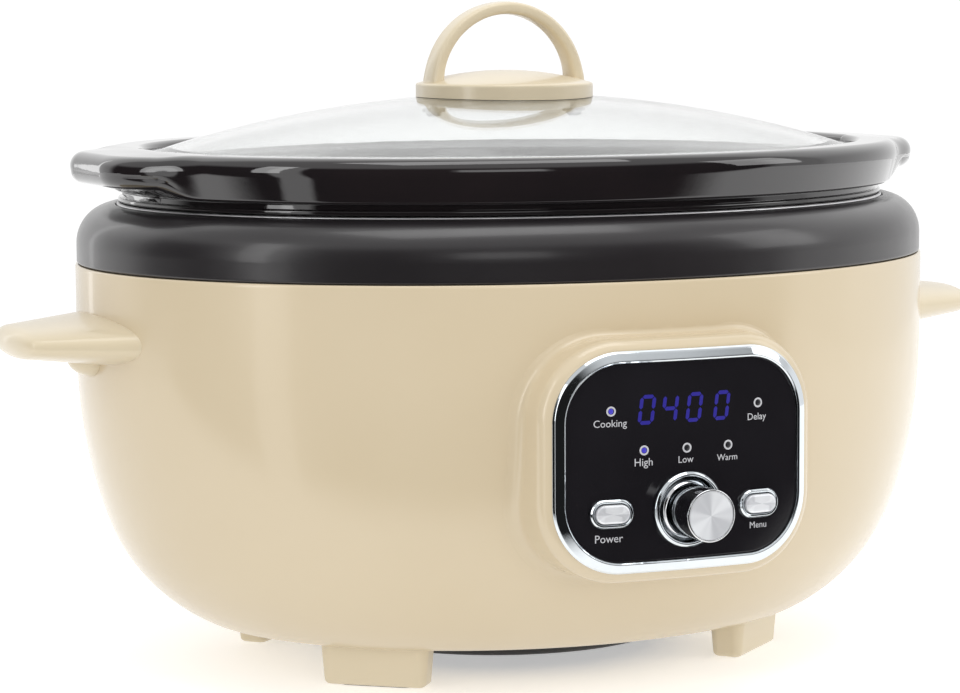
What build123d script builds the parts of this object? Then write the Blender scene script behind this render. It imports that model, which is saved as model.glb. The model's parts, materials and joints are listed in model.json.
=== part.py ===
from build123d import *
import os
from math import asin, atan, cos, degrees, radians, sin, sqrt, tan

# An oval countertop slow cooker: a plastic casing with a metal heating liner, a lift-out
# glazed crock, a domed glass lid and a curved control panel on the front.
# X runs along the oval, -Y is the front with the control panel, +Z is up.
# Every piece is drawn about the oval's centre line and moved by ROW_SHIFT_Y when it is saved,
# which puts the origin under the middle of the whole object's box.

# ---- overall size, mm
HALF_LENGTH = 178.0
HALF_DEPTH = 144.0
RATIO = HALF_DEPTH / HALF_LENGTH
SEAM_Z = 162.0
COLLAR_TOP_Z = 185.5
RIM_TOP_Z = 208.0
WALL = 2.6
GAP = 0.3

# ---- casing: a straight belly, then three tangent arcs (radius, turn) to the flat underside
BELLY_Z = 124.877
BELLY_ARCS = [(190.0, 20.0), (73.7, 43.6), (20.0, 26.4)]
UNDERSIDE_Z = 17.0
COLLAR_SHOULDER = 16.0

# ---- base pan and feet
PAN_SIZE = (68.0, 62.0)
PAN_FLOOR_Z = 6.5
PAN_OPENING = (72.0, 66.0)
SHEET = 1.2
FOOT_PLACE = (81.3, 56.2)
FOOT_TURN = 40.0
FOOT_SIZE = (44.0, 15.0)
FOOT_TAPER = 5.0
FOOT_BOTTOM_Z = 0.4
FOOT_TAB = (22.0, 5.0)
FOOT_SCREW_IN = 14.0
PAD_SIZE = (30.0, 7.0)

# ---- control panel: a face curved about a vertical axis
PANEL_RADIUS = 318.0
PANEL_Y = -159.7
PANEL_Z = 96.8
LENS_SIZE = (96.6, 73.8)
LENS_CORNER = 22.0
LENS_THICK = 2.0
BEZEL_WIDTH = 4.4
BEZEL_PROUD = 1.4
BOSS_MARGIN = 5.6
BOSS_SINK = 1.0
BOSS_EDGE = 4.5
CARRIER_THICK = 2.4

# ---- knob, buttons and lamps on the panel
CONTROL_Z = 78.4
BUTTON_X = 30.6
BUTTON_SIZE = (13.4, 7.0)
BUTTON_PROUD = 3.0
BUTTON_TRAVEL = 0.8
FRAME_RIM = 2.1
KNOB_RADIUS = 9.9
KNOB_REACH = 19.4
RING_RADIUS = 14.2
SHAFT_RADIUS = 3.0
LAMP_PLACES = [(-30.6, 116.2), (30.6, 116.2), (-17.5, 101.2), (0.0, 101.2), (17.5, 101.2)]
LAMP_RADIUS = 1.05
DIGIT_Z = 116.2
DIGIT_XS = [-15.6, -5.4, 5.4, 15.6]
DIGIT_SIZE = (6.0, 11.0)
SEGMENT_WIDTH = 1.0
SHOWN = ["abcdef", "bcfg", "abcdef", "abcdef"]

# ---- boards
BOARD_Y = -147.5
BOARD_SIZE = (92.0, 64.0)
BOARD_THICK = 1.6
BOARD_POSTS = (38.0, 25.0)
POWER_BOARD_Z = 13.0
POWER_BOARD = (96.0, 62.0)

# ---- liner, crock and lid: half lengths along X with their heights
LIP_X = 157.2
LINER_TOP = (156.8, 183.9)
LINER_FOOT = (138.0, 36.5)
LINER_THICK = 1.0
CROCK_TOP = (154.6, 186.5)
CROCK_FOOT = (134.8, 39.0)
CROCK_WALL = 10.4
RIM_EDGE = 169.5
SEAT_X = 149.8
SEAT_Z = 203.3
LID_EDGE = 148.6
LID_TOP_Z = 227.7
LID_SHOULDER = (142.5, 206.7)
LID_THICK = 4.0
LUG_END = 179.5
LUG_HALF = 40.0
LUG_CORNER = 24.0
LUG_HEIGHTS = (193.0, 206.8)

# ---- lid handle
HANDLE_RADIUS = 36.2
HANDLE_EDGE_Z = 231.8
HANDLE_DOME_Z = 237.1
ARCH_RADIUS = 34.1
ARCH_BAND = (5.2, 10.0)
ARCH_CENTRE_Z = 230.8

# ---- side handles
GRIP_TIP = 213.0
GRIP_Z = 133.4
GRIP_NOSE = 5.6
GRIP_ROOT = (160.0, 11.6)
GRIP_SPREAD = 3.9
GRIP_SCREW_Y = 18.0

# ---- cord inlet at the back
INLET_Z = 62.0
INLET_BORE = 3.7
INLET_SLEEVE = 6.3

# ---- the reach to the front and the back sets the row's origin
ROW_SHIFT_Y = (KNOB_REACH - PANEL_Y - HALF_DEPTH) / 2


def save(name, shape):
    """Write one node in the row's frame."""
    export_step(Pos(0, ROW_SHIFT_Y, 0) * shape, "parts/" + name + ".step")


def group(solids):
    """Several separate solids as one node."""
    return Compound(children=list(solids))


def four_ways(x, y):
    """A point repeated in the four quarters."""
    return [(sx * x, sy * y) for sx in (-1, 1) for sy in (-1, 1)]


def outline(points):
    """A straight-sided half outline in the XZ plane."""
    return make_face(Polyline(*[(x, 0, z) for x, z in points], close=True))


def rounded(points, corners):
    """A half outline whose corners, named by index, are rounded by the given radii."""
    face = outline(points)
    for index, radius in corners.items():
        x, z = points[index]
        corner = face.vertices().sort_by_distance((x, 0, z))[0]
        face = fillet(corner, radius)
    return face


def spin(face, ratio=RATIO):
    """Turn a half outline about Z in four quarters and squeeze it along Y into an oval."""
    quarters = [scale(Rot(0, 0, turn) * revolve(face, Axis.Z, 90), (1, ratio, 1))
                for turn in (0, 90, 180, 270)]
    return quarters[0].fuse(*quarters[1:])


def turned(points, x, z):
    """A piece turned about an axis along Y at (x, z). Points are (radius, depth behind the face)."""
    face = make_face(Polyline(*[(r, y, 0) for r, y in points], close=True))
    return Pos(x, PANEL_Y, z) * revolve(face, Axis.Y)


def rod(x, y, z, radius, length, axis="Z"):
    """A round rod centred on a point and lying along X, Y or Z."""
    turn = {"X": Rot(0, 90, 0), "Y": Rot(90, 0, 0), "Z": Rot(0, 0, 0)}[axis]
    return Pos(x, y, z) * turn * Cylinder(radius, length)


def block(size, low):
    """A box by its size and its lowest corner."""
    return Pos(*low) * Box(*size, align=(Align.MIN, Align.MIN, Align.MIN))


def pill(length, height, front, back):
    """A stadium-shaped plug lying along X, between two depths along Y."""
    return Pos(0, front, 0) * extrude(Plane.XZ * SlotOverall(length, height), front - back)


def panel_block(size, corner, outer, inner):
    """A rounded rectangle between two surfaces parallel to the panel's curved face.
    outer and inner are depths behind the face; a negative one stands proud of it."""
    prism = extrude(Plane.XZ * RectangleRounded(*size, corner), -60)
    shell = Cylinder(PANEL_RADIUS - outer, 200) - Cylinder(PANEL_RADIUS - inner, 200)
    return (Pos(0, PANEL_Y - 20, PANEL_Z) * prism) & (Pos(0, PANEL_Y + PANEL_RADIUS, PANEL_Z) * shell)


def grown(size, margin):
    return (size[0] + 2 * margin, size[1] + 2 * margin)


def dome_arc(radius, edge_z, top_z):
    """An arc from the edge up to the top whose centre is on the Z axis."""
    rise = top_z - edge_z
    ball = (radius * radius + rise * rise) / (2 * rise)
    drop = ball - sqrt(ball * ball - radius * radius / 4)
    return ThreePointArc((radius, 0, edge_z), (radius / 2, 0, top_z - drop), (0, 0, top_z))


def panel_spot(x, z):
    """A place on the panel's face whose own -Y axis is square to the face."""
    turn = asin(x / PANEL_RADIUS)
    y = PANEL_Y + PANEL_RADIUS * (1 - cos(turn))
    return Location((x, y, z), (0, 0, degrees(turn)))


def button_spots():
    return {"power": panel_spot(-BUTTON_X, CONTROL_Z), "menu": panel_spot(BUTTON_X, CONTROL_Z)}


# ---------------------------------------------------------------- casing

def casing_outline(inset, top):
    """The casing's half outline, moved inwards by inset and closed at the height top."""
    centre = (HALF_LENGTH - BELLY_ARCS[0][0], BELLY_Z)
    start = (HALF_LENGTH - inset, 0, BELLY_Z)
    edges = [Line((0, 0, top), (start[0], 0, top)), Line((start[0], 0, top), start)]
    angle = 0.0
    for index, (radius, turn) in enumerate(BELLY_ARCS):
        reach = radius - inset
        places = [radians(angle + turn * part) for part in (0.5, 1.0)]
        middle, end = [(centre[0] + reach * cos(a), 0, centre[1] - reach * sin(a)) for a in places]
        edges.append(ThreePointArc(start, middle, end))
        angle += turn
        start = end
        if index + 1 < len(BELLY_ARCS):
            step = radius - BELLY_ARCS[index + 1][0]
            centre = (centre[0] + step * cos(places[1]), centre[1] - step * sin(places[1]))
    edges.append(Line(start, (0, 0, start[2])))
    edges.append(Line((0, 0, start[2]), (0, 0, top)))
    return make_face(edges)


def casing_solid(inset=0.0, top=SEAM_Z):
    return spin(casing_outline(inset, top))


def boss_solid(inset, sink):
    """The raised block that carries the panel, before it joins the casing."""
    margin = BEZEL_WIDTH + BOSS_MARGIN - inset
    return panel_block(grown(LENS_SIZE, margin), LENS_CORNER + margin, sink, 34.0)


def foot_places():
    """The four feet: centre of the foot and the turn about Z that faces it outwards."""
    x, y = FOOT_PLACE
    return {
        "front_left": ((-x, -y), -FOOT_TURN),
        "front_right": ((x, -y), FOOT_TURN),
        "back_left": ((-x, y), 180 + FOOT_TURN),
        "back_right": ((x, y), 180 - FOOT_TURN),
    }


def foot_screw_places():
    """Each foot's screw goes up through the tab behind it."""
    places = []
    for (x, y), turn in foot_places().values():
        a = radians(turn)
        places.append((x - FOOT_SCREW_IN * sin(a), y + FOOT_SCREW_IN * cos(a)))
    return places


def pan_screw_places():
    reach = 4.5
    diagonal = cos(radians(45))
    return four_ways((PAN_OPENING[0] + reach) * diagonal, (PAN_OPENING[1] + reach) * diagonal)


def inlet_place():
    """Where the cord inlet crosses the back wall, square to the wall there."""
    radius = BELLY_ARCS[0][0]
    turn = asin((BELLY_Z - INLET_Z) / radius)
    y = RATIO * (HALF_LENGTH - radius + radius * cos(turn))
    return Location((0, y, INLET_Z), (degrees(-atan(RATIO * tan(turn))), 0, 0))


def make_casing():
    """The moulded outer shell with the raised panel block on its front."""
    boss = boss_solid(0.0, BOSS_SINK)
    front_rim = boss.faces().sort_by(Axis.Y)[0].edges()
    boss = fillet(front_rim, BOSS_EDGE)
    cavity = casing_solid(WALL, SEAM_Z + 20) + boss_solid(WALL, BOSS_SINK + WALL)
    shell = casing_solid() + boss - cavity
    shell -= panel_block(grown(LENS_SIZE, 1.7), LENS_CORNER + 1.7, -5.0, 20.0)
    shell -= scale(Cylinder(PAN_OPENING[0], 60), (1, PAN_OPENING[1] / PAN_OPENING[0], 1))
    for x, y in foot_screw_places():
        shell -= rod(x, y, UNDERSIDE_Z, 1.6, 20)
    for x, y in pan_screw_places():
        shell -= rod(x, y, UNDERSIDE_Z, 1.7, 20)
    for side in (-1, 1):
        for y in (-GRIP_SCREW_Y, GRIP_SCREW_Y):
            shell -= rod(side * HALF_LENGTH, y, GRIP_Z, 1.7, 30, "X")
    return shell - inlet_place() * rod(0, 0, 0, INLET_SLEEVE + 0.2, 30, "Y")


def make_collar():
    """The dark ring above the seam: a quarter-round shoulder, a sunk lip and an inner skirt."""
    side = HALF_LENGTH - 0.6
    arc_z = COLLAR_TOP_Z - COLLAR_SHOULDER
    quarter = side - COLLAR_SHOULDER
    low = SEAM_Z + GAP
    skirt = HALF_LENGTH - WALL - 0.4
    lip_z = LINER_TOP[1]
    reach = COLLAR_SHOULDER - WALL
    diagonal = cos(radians(45))
    path = [(side, low), (side, arc_z), (quarter, COLLAR_TOP_Z), (quarter, lip_z), (LIP_X, lip_z),
            (LIP_X, lip_z - WALL), (quarter, COLLAR_TOP_Z - WALL - 1.6), (quarter + reach, arc_z),
            (skirt - 1.8, low), (skirt - 1.8, SEAM_Z - 9), (skirt, SEAM_Z - 9), (skirt, low)]
    arcs = {1: (quarter + COLLAR_SHOULDER * diagonal, arc_z + COLLAR_SHOULDER * diagonal),
            6: (quarter + reach * diagonal, arc_z + reach * diagonal - 0.8)}
    edges = []
    for index, (x, z) in enumerate(path):
        nx, nz = path[(index + 1) % len(path)]
        if index in arcs:
            mx, mz = arcs[index]
            edges.append(ThreePointArc((x, 0, z), (mx, 0, mz), (nx, 0, nz)))
        else:
            edges.append(Line((x, 0, z), (nx, 0, nz)))
    return spin(make_face(edges))


def make_base_plate():
    """The pressed steel closing plate: a flange inside the casing and a pan through the opening."""
    ratio = PAN_SIZE[1] / PAN_SIZE[0]
    flange = PAN_OPENING[0] + 8.5
    low = UNDERSIDE_Z + WALL + 0.1
    pan = PAN_SIZE[0]
    points = [(0, PAN_FLOOR_Z), (pan, PAN_FLOOR_Z), (pan, low), (flange, low), (flange, low + SHEET),
              (pan - SHEET, low + SHEET), (pan - SHEET, PAN_FLOOR_Z + SHEET), (0, PAN_FLOOR_Z + SHEET)]
    plate = spin(rounded(points, {1: 3.0, 6: 1.8}), ratio)
    for x, y in four_ways(POWER_BOARD[0] / 2 - 6, POWER_BOARD[1] / 2 - 6):
        plate += Pos(x, y, PAN_FLOOR_Z + 0.5) * Cylinder(3.0, POWER_BOARD_Z - PAN_FLOOR_Z - 0.5,
                                                        align=(Align.CENTER, Align.CENTER, Align.MIN))
    for x, y in pan_screw_places():
        plate -= rod(x, y, low, 1.7, 10)
    for row in range(-2, 3):
        plate -= Pos(0, row * 9.0, PAN_FLOOR_Z) * extrude(SlotOverall(34, 3.4), 6, both=True)
    return plate


def make_foot(spot, turn):
    """A tapered foot with rounded corners, a screw tab behind it and a recess for its pad."""
    height = UNDERSIDE_Z - GAP - FOOT_BOTTOM_Z
    top = RectangleRounded(*FOOT_SIZE, 4.5)
    body = Pos(0, 0, UNDERSIDE_Z - GAP) * extrude(top, -height, taper=FOOT_TAPER)
    body = fillet(body.faces().sort_by(Axis.Z)[0].edges(), 1.8)
    width, thick = FOOT_TAB
    body += block((width, FOOT_SCREW_IN + 7, thick), (-width / 2, 0, UNDERSIDE_Z - GAP - thick))
    body -= Pos(0, 0, -1) * extrude(SlotOverall(*grown(PAD_SIZE, 0.6)), 2.6)
    body -= rod(0, FOOT_SCREW_IN, UNDERSIDE_Z, 1.7, 30)
    return Pos(spot[0], spot[1], 0) * Rot(0, 0, turn) * body


def make_foot_pads():
    pad = extrude(SlotOverall(*PAD_SIZE), 1.5)
    return group(Pos(x, y, 0) * Rot(0, 0, turn) * pad for (x, y), turn in foot_places().values())


def pan_head_screw(head_radius, head, shank_radius, shank):
    """A screw standing on its head: the head below z = 0, the shank above."""
    points = [(0, -head), (head_radius * 0.7, -head), (head_radius, -head * 0.4), (head_radius, 0),
              (shank_radius, 0), (shank_radius, shank - 1), (shank_radius * 0.5, shank), (0, shank)]
    screw = revolve(outline(points), Axis.Z)
    slot = block((head_radius * 1.2, 0.6, head * 0.5), (-head_radius * 0.6, -0.3, -head))
    cross = slot + Rot(0, 0, 90) * slot
    return screw - cross


def make_side_handle(side):
    """A wing-shaped grip: a tapered round bar about X, spread along Y, with a boss beneath it."""
    nose_x = GRIP_TIP - GRIP_NOSE
    root_x, root_r = GRIP_ROOT
    lean = asin((root_r - GRIP_NOSE) / (nose_x - root_x))
    touch = (nose_x + GRIP_NOSE * sin(lean), GRIP_NOSE * cos(lean))
    half = (radians(90) - lean) / 2
    middle = (nose_x + GRIP_NOSE * cos(half), GRIP_NOSE * sin(half))
    edges = [
        Line((root_x, 0, 0), (GRIP_TIP, 0, 0)),
        ThreePointArc((GRIP_TIP, 0, 0), (middle[0], 0, middle[1]), (touch[0], 0, touch[1])),
        Line((touch[0], 0, touch[1]), (root_x, 0, root_r)),
        Line((root_x, 0, root_r), (root_x, 0, 0)),
    ]
    wing = Pos(0, 0, GRIP_Z) * scale(revolve(make_face(edges), Axis.X), (1, GRIP_SPREAD, 1))
    wing += Pos(177.0, 0, GRIP_Z - 7.5) * Sphere(10.5)
    wing -= spin(outline([(0, 20), (HALF_LENGTH + 0.05, 20), (HALF_LENGTH + 0.05, 160), (0, 160)]))
    for y in (-GRIP_SCREW_Y, GRIP_SCREW_Y):
        wing -= rod(HALF_LENGTH, y, GRIP_Z, 1.6, 28, "X")
    return wing if side > 0 else mirror(wing, Plane.YZ)


def make_side_handle_screws():
    screw = pan_head_screw(3.2, 2.0, 1.5, 17.0)
    screws = []
    for side in (-1, 1):
        for y in (-GRIP_SCREW_Y, GRIP_SCREW_Y):
            screws.append(Pos(side * 173.4, y, GRIP_Z) * Rot(0, side * 90, 0) * screw)
    return group(screws)


def make_cord_inlet():
    """A flanged bushing, with the bore that the supply cord passes."""
    points = [(INLET_BORE, -9), (INLET_SLEEVE, -9), (INLET_SLEEVE, 0.1), (8.6, 0.1), (8.6, 1.6),
              (7.4, 2.6), (INLET_BORE, 2.6)]
    face = make_face(Polyline(*[(r, y, 0) for r, y in points], close=True))
    bushing = inlet_place() * revolve(face, Axis.Y)
    wall = casing_solid() - inlet_place() * rod(0, 0, 0, INLET_SLEEVE + 0.2, 60, "Y")
    return bushing - wall


# ---------------------------------------------------------------- heater

def liner_x(z):
    """The liner's outer half length at a height."""
    part = (z - LINER_FOOT[1]) / (LINER_TOP[1] - LINER_FOOT[1])
    return LINER_FOOT[0] + part * (LINER_TOP[0] - LINER_FOOT[0])


def liner_band(low, high, inner, outer):
    """A band round the liner between two heights and two distances from its wall."""
    return spin(outline([(liner_x(low) + inner, low), (liner_x(low) + outer, low),
                         (liner_x(high) + outer, high), (liner_x(high) + inner, high)]))


def make_liner():
    """The heating pot: a drawn metal oval with a rolled flange that hangs on the collar's lip."""
    top_x, top_z = LINER_TOP
    foot_x, foot_z = LINER_FOOT
    bead = top_z + 2.3
    points = [(0, foot_z), (foot_x, foot_z), (top_x, top_z), (161.0, top_z), (161.0, bead),
              (top_x - LINER_THICK, bead), (top_x - LINER_THICK, top_z),
              (foot_x - LINER_THICK, foot_z + LINER_THICK), (0, foot_z + LINER_THICK)]
    return spin(rounded(points, {1: 19.0, 4: 1.1, 5: 1.1, 7: 18.0}))


def make_liner_brackets():
    """Four bent strips that tie the liner's floor to the casing's."""
    low, high = UNDERSIDE_Z + WALL + 0.15, LINER_FOOT[1]
    points = [(88, low), (100, low), (100, high - SHEET), (112, high - SHEET), (112, high),
              (100 - SHEET, high), (100 - SHEET, low + SHEET), (88, low + SHEET)]
    strip = Pos(0, 6, 0) * extrude(outline(points), 12)
    ends = [Rot(0, 0, turn) * strip for turn in (0, 180)]
    sides = [Pos(0, side * -12, 0) * Rot(0, 0, side * 90) * strip for side in (-1, 1)]
    return group(ends + sides)


def make_temperature_sensor():
    top = LINER_FOOT[1] - 0.1
    return revolve(outline([(0, top - 6), (5, top - 6), (7, top - 5), (7, top - 2), (9, top - 2),
                            (9, top), (0, top)]), Axis.Z)


def make_thermal_fuse():
    y = -RATIO * liner_x(45.0) - 3.0
    fuse = rod(0, y, 45.0, 2.0, 12.0, "X")
    return fuse + rod(9, y, 45.0, 0.5, 8.0, "X") + rod(-9, y, 45.0, 0.5, 8.0, "X")


# ---------------------------------------------------------------- control panel

def make_bezel():
    """The bright frame: a raised lip round the lens and a skirt through the casing's window."""
    inner = grown(LENS_SIZE, 0.1)
    flange = panel_block(grown(LENS_SIZE, BEZEL_WIDTH), LENS_CORNER + BEZEL_WIDTH, -BEZEL_PROUD, BOSS_SINK)
    flange = chamfer(flange.faces().sort_by(Axis.Y)[0].edges(), 1.0)
    skirt = panel_block(grown(LENS_SIZE, 1.5), LENS_CORNER + 1.5, BOSS_SINK, 6.5)
    hole = panel_block(inner, LENS_CORNER + 0.1, -9.0, 20.0)
    return flange + skirt - hole


def cut_controls(plate, ring_radius, margin):
    """Open a panel plate for the knob, the buttons and the lamps."""
    plate -= rod(0, PANEL_Y, CONTROL_Z, ring_radius, 30, "Y")
    for spot in button_spots().values():
        plate -= spot * pill(*grown(BUTTON_SIZE, margin), -8, 14)
    for x, z in LAMP_PLACES:
        plate -= rod(x, PANEL_Y, z, LAMP_RADIUS + 0.1, 30, "Y")
    return plate


def make_lens():
    plate = panel_block(LENS_SIZE, LENS_CORNER, 0.0, LENS_THICK)
    return cut_controls(plate, 12.45, 0.85)


def make_carrier():
    """The frame behind the lens that guides the buttons and holds the board on four posts."""
    plate = panel_block(grown(LENS_SIZE, -0.2), LENS_CORNER - 0.2, LENS_THICK + 0.05,
                        LENS_THICK + CARRIER_THICK)
    plate = cut_controls(plate, 12.45, 0.6)
    plate -= block((48, 40, 17), (-24, PANEL_Y - 5, DIGIT_Z - 8.5))
    start = panel_spot(BOARD_POSTS[0], 0).position.Y + LENS_THICK + 1.0
    for x, z in four_ways(*BOARD_POSTS):
        plate += rod(x, (BOARD_Y + start) / 2, PANEL_Z + z, 2.8, BOARD_Y - start, "Y")
        plate -= rod(x, BOARD_Y, PANEL_Z + z, 1.15, 14, "Y")
    return plate


def make_display_module():
    front = PANEL_Y + 3.2
    return block((46, BOARD_Y - front, 15), (-23, front, DIGIT_Z - 7.5))


def make_display_segments():
    """The lit bars of four seven-segment digits, reading a time of four hours."""
    width, height = DIGIT_SIZE
    arm, half = width / 2, height / 2
    thick = 0.25
    reach = {"a": (0, half, 1), "b": (arm, half / 2, 0), "c": (arm, -half / 2, 0), "d": (0, -half, 1),
             "e": (-arm, -half / 2, 0), "f": (-arm, half / 2, 0), "g": (0, 0, 1)}
    long_bar, tall_bar = width - SEGMENT_WIDTH * 1.3, half - SEGMENT_WIDTH * 1.3
    bars = []
    for digit_x, lit in zip(DIGIT_XS, SHOWN):
        for letter in lit:
            x, z, flat = reach[letter]
            size = (long_bar, SEGMENT_WIDTH) if flat else (SEGMENT_WIDTH, tall_bar)
            low = (digit_x + x - size[0] / 2, PANEL_Y + 3.2 - thick, DIGIT_Z + z - size[1] / 2)
            bars.append(block((size[0], thick, size[1]), low))
    return group(bars)


def make_lamps():
    """Five light guides from the lens's face back to the board."""
    lamps = []
    for x, z in LAMP_PLACES:
        length = BOARD_Y - 0.2 - PANEL_Y
        guide = rod(x, PANEL_Y + length / 2, z, LAMP_RADIUS, length, "Y")
        lamps.append(guide & (Pos(0, PANEL_Y + PANEL_RADIUS, z) * Cylinder(PANEL_RADIUS, 20)))
    return group(lamps)


def make_knob_ring(lens):
    """A dished bright ring let into the lens round the knob."""
    points = [(RING_RADIUS, 0.6), (RING_RADIUS, -1.2), (13.4, -2.6), (12.6, -2.6), (11.8, -0.8),
              (11.6, 0.6), (4.5, 0.6), (4.5, 1.6), (12.35, 1.6), (12.35, 0.6)]
    return turned(points, 0, CONTROL_Z) - lens


def make_knob_body():
    """The turning knob: a low skirt, a slightly tapered barrel and a sunk face, bored for its shaft."""
    r = KNOB_RADIUS
    front = -KNOB_REACH
    points = [(SHAFT_RADIUS + 0.05, 0.2), (r + 1.0, 0.2), (r + 1.0, -1.2), (r + 0.3, -2.1), (r, -2.3),
              (r - 0.1, front + 0.8), (r - 0.6, front), (r - 0.9, front), (r - 0.9, front + 0.7),
              (0, front + 0.7), (0, -13.2), (SHAFT_RADIUS + 0.05, -13.2)]
    return turned(points, 0, CONTROL_Z)


def make_knob_face():
    """The thin spun metal disc let into the knob's front."""
    r = KNOB_RADIUS - 0.95
    front = -KNOB_REACH
    return turned([(0, front + 0.65), (r, front + 0.65), (r, front + 0.15), (0, front + 0.25)], 0, CONTROL_Z)


def make_encoder_shaft():
    return turned([(0, 9.0), (SHAFT_RADIUS, 9.0), (SHAFT_RADIUS, -12.6), (SHAFT_RADIUS - 0.5, -13.1),
                   (0, -13.1)], 0, CONTROL_Z)


def make_encoder_body():
    front = PANEL_Y + 5.6
    body = block((12.4, BOARD_Y - front, 13.2), (-6.2, front, CONTROL_Z - 6.6))
    body += rod(0, front - 1.4, CONTROL_Z, 4.2, 3.2, "Y")
    return body - rod(0, PANEL_Y, CONTROL_Z, SHAFT_RADIUS + 0.06, 2 * 9.3, "Y")


def make_button_frame(spot, lens):
    """A bright stadium-shaped rim on the lens with a sleeve through it."""
    rim = pill(*grown(BUTTON_SIZE, FRAME_RIM), -1.8, 0.4)
    rim = chamfer(rim.faces().sort_by(Axis.Y)[0].edges(), 0.9)
    sleeve = pill(*grown(BUTTON_SIZE, 0.8), 0, LENS_THICK)
    return spot * (rim + sleeve - pill(*grown(BUTTON_SIZE, 0.3), -8, 14)) - lens


def make_button(spot):
    """A stadium-shaped key with a rounded front and a stem towards its switch."""
    key = pill(*BUTTON_SIZE, -BUTTON_PROUD, 4.0)
    key = fillet(key.faces().sort_by(Axis.Y)[0].edges(), 0.9)
    return spot * (key + block((3.6, 2.6, 3.6), (-1.8, 3.6, -1.8)))


def make_tact_switches():
    top = BOARD_Y - 3.4
    return group(block((6, 3.4, 6), (side * BUTTON_X - 3, top, CONTROL_Z - 3)) for side in (-1, 1))


def make_control_board():
    board = Pos(0, BOARD_Y, PANEL_Z) * extrude(Plane.XZ * RectangleRounded(*BOARD_SIZE, 3), -BOARD_THICK)
    for x, z in four_ways(*BOARD_POSTS):
        board -= rod(x, BOARD_Y, PANEL_Z + z, 1.3, 12, "Y")
    return board


def make_board_screws():
    screw = pan_head_screw(2.3, 1.5, 1.1, 6.5)
    back = BOARD_Y + BOARD_THICK
    return group(Pos(x, back, PANEL_Z + z) * Rot(90, 0, 0) * screw for x, z in four_ways(*BOARD_POSTS))


def make_controller_chip():
    chip = block((14, 1.8, 10), (-20, BOARD_Y + BOARD_THICK, PANEL_Z - 4))
    for index in range(7):
        chip += block((0.7, 0.5, 13), (-19 + index * 1.9, BOARD_Y + BOARD_THICK, PANEL_Z - 5.5))
    return chip


def make_buzzer():
    back = BOARD_Y + BOARD_THICK
    can = rod(22, back + 2.6, PANEL_Z + 4, 6.0, 5.2, "Y")
    return can - rod(22, back + 5.2, PANEL_Z + 4, 1.0, 3.0, "Y")


# ---------------------------------------------------------------- power board in the pan

def make_power_board():
    width, depth = POWER_BOARD
    board = block((width, depth, BOARD_THICK), (-width / 2, -depth / 2, POWER_BOARD_Z))
    for x, y in four_ways(width / 2 - 6, depth / 2 - 6):
        board -= rod(x, y, POWER_BOARD_Z, 1.3, 10)
    return board


def on_power_board(size, x, y):
    return block(size, (x - size[0] / 2, y - size[1] / 2, POWER_BOARD_Z + BOARD_THICK))


def make_transformer():
    """A laminated core with its winding standing proud on two sides."""
    return on_power_board((26, 12, 17), -24, -8) + on_power_board((18, 22, 14), -24, -8)


def make_terminal_block():
    body = on_power_board((26, 10, 9), 0, 21)
    for index in range(3):
        body -= rod(-8 + index * 8, 21, POWER_BOARD_Z + 12, 1.9, 6)
    return body


# ---------------------------------------------------------------- crock and lid

def make_crock():
    """The lift-out glazed pot: a tapered oval with a heavy rim, a seat for the lid and two lugs."""
    top_x, top_z = CROCK_TOP
    foot_x, foot_z = CROCK_FOOT
    ledge = 160.3
    points = [(0, foot_z), (foot_x, foot_z), (top_x, top_z), (ledge, top_z), (ledge, top_z + 1.9),
              (158.4, top_z + 1.9), (158.4, 190.8), (164.4, 190.8), (RIM_EDGE, RIM_TOP_Z),
              (SEAT_X + 0.4, RIM_TOP_Z), (SEAT_X, SEAT_Z), (144.0, SEAT_Z),
              (foot_x - CROCK_WALL, foot_z + 9), (0, foot_z + 9)]
    pot = spin(rounded(points, {1: 20.0, 4: 0.6, 7: 1.8, 8: 5.2, 9: 2.0, 11: 2.6, 12: 22.0}))
    low, high = LUG_HEIGHTS
    lugs = Pos(0, 0, low) * extrude(RectangleRounded(2 * LUG_END, 2 * LUG_HALF, LUG_CORNER), high - low)
    lugs = fillet(lugs.edges().group_by(Axis.Z)[0] + lugs.edges().group_by(Axis.Z)[-1], 4.4)
    lugs -= spin(outline([(0, 150), (161, 150), (161, 250), (0, 250)]))
    return pot + lugs


def lid_outer():
    """Everything under the lid's upper surface, out to its edge."""
    edge_z = SEAT_Z + GAP
    shoulder_x, shoulder_z = LID_SHOULDER
    edges = [
        dome_arc(shoulder_x, shoulder_z, LID_TOP_Z),
        Line((shoulder_x, 0, shoulder_z), (LID_EDGE - 1, 0, edge_z + 2.2)),
        Line((LID_EDGE - 1, 0, edge_z + 2.2), (LID_EDGE, 0, edge_z + 1.2)),
        Line((LID_EDGE, 0, edge_z + 1.2), (LID_EDGE, 0, edge_z)),
        Line((LID_EDGE, 0, edge_z), (0, 0, edge_z)),
        Line((0, 0, edge_z), (0, 0, LID_TOP_Z)),
    ]
    return spin(make_face(edges))


def make_lid_glass():
    """The domed glass with a flat edge and two holes for the handle's screws."""
    edge_z = SEAT_Z + GAP
    inner_x = LID_SHOULDER[0] - 1.5
    top = LID_TOP_Z - LID_THICK
    hollow = [
        dome_arc(inner_x, edge_z, top),
        Line((inner_x, 0, edge_z), (inner_x, 0, edge_z - 5)),
        Line((inner_x, 0, edge_z - 5), (0, 0, edge_z - 5)),
        Line((0, 0, edge_z - 5), (0, 0, top)),
    ]
    glass = lid_outer() - spin(make_face(hollow))
    for x in (-1, 1):
        glass -= rod(x * arch_leg_x(), 0, LID_TOP_Z, 2.3, 30)
    return glass


def arch_leg_x():
    return ARCH_RADIUS - ARCH_BAND[0] / 2


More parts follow.
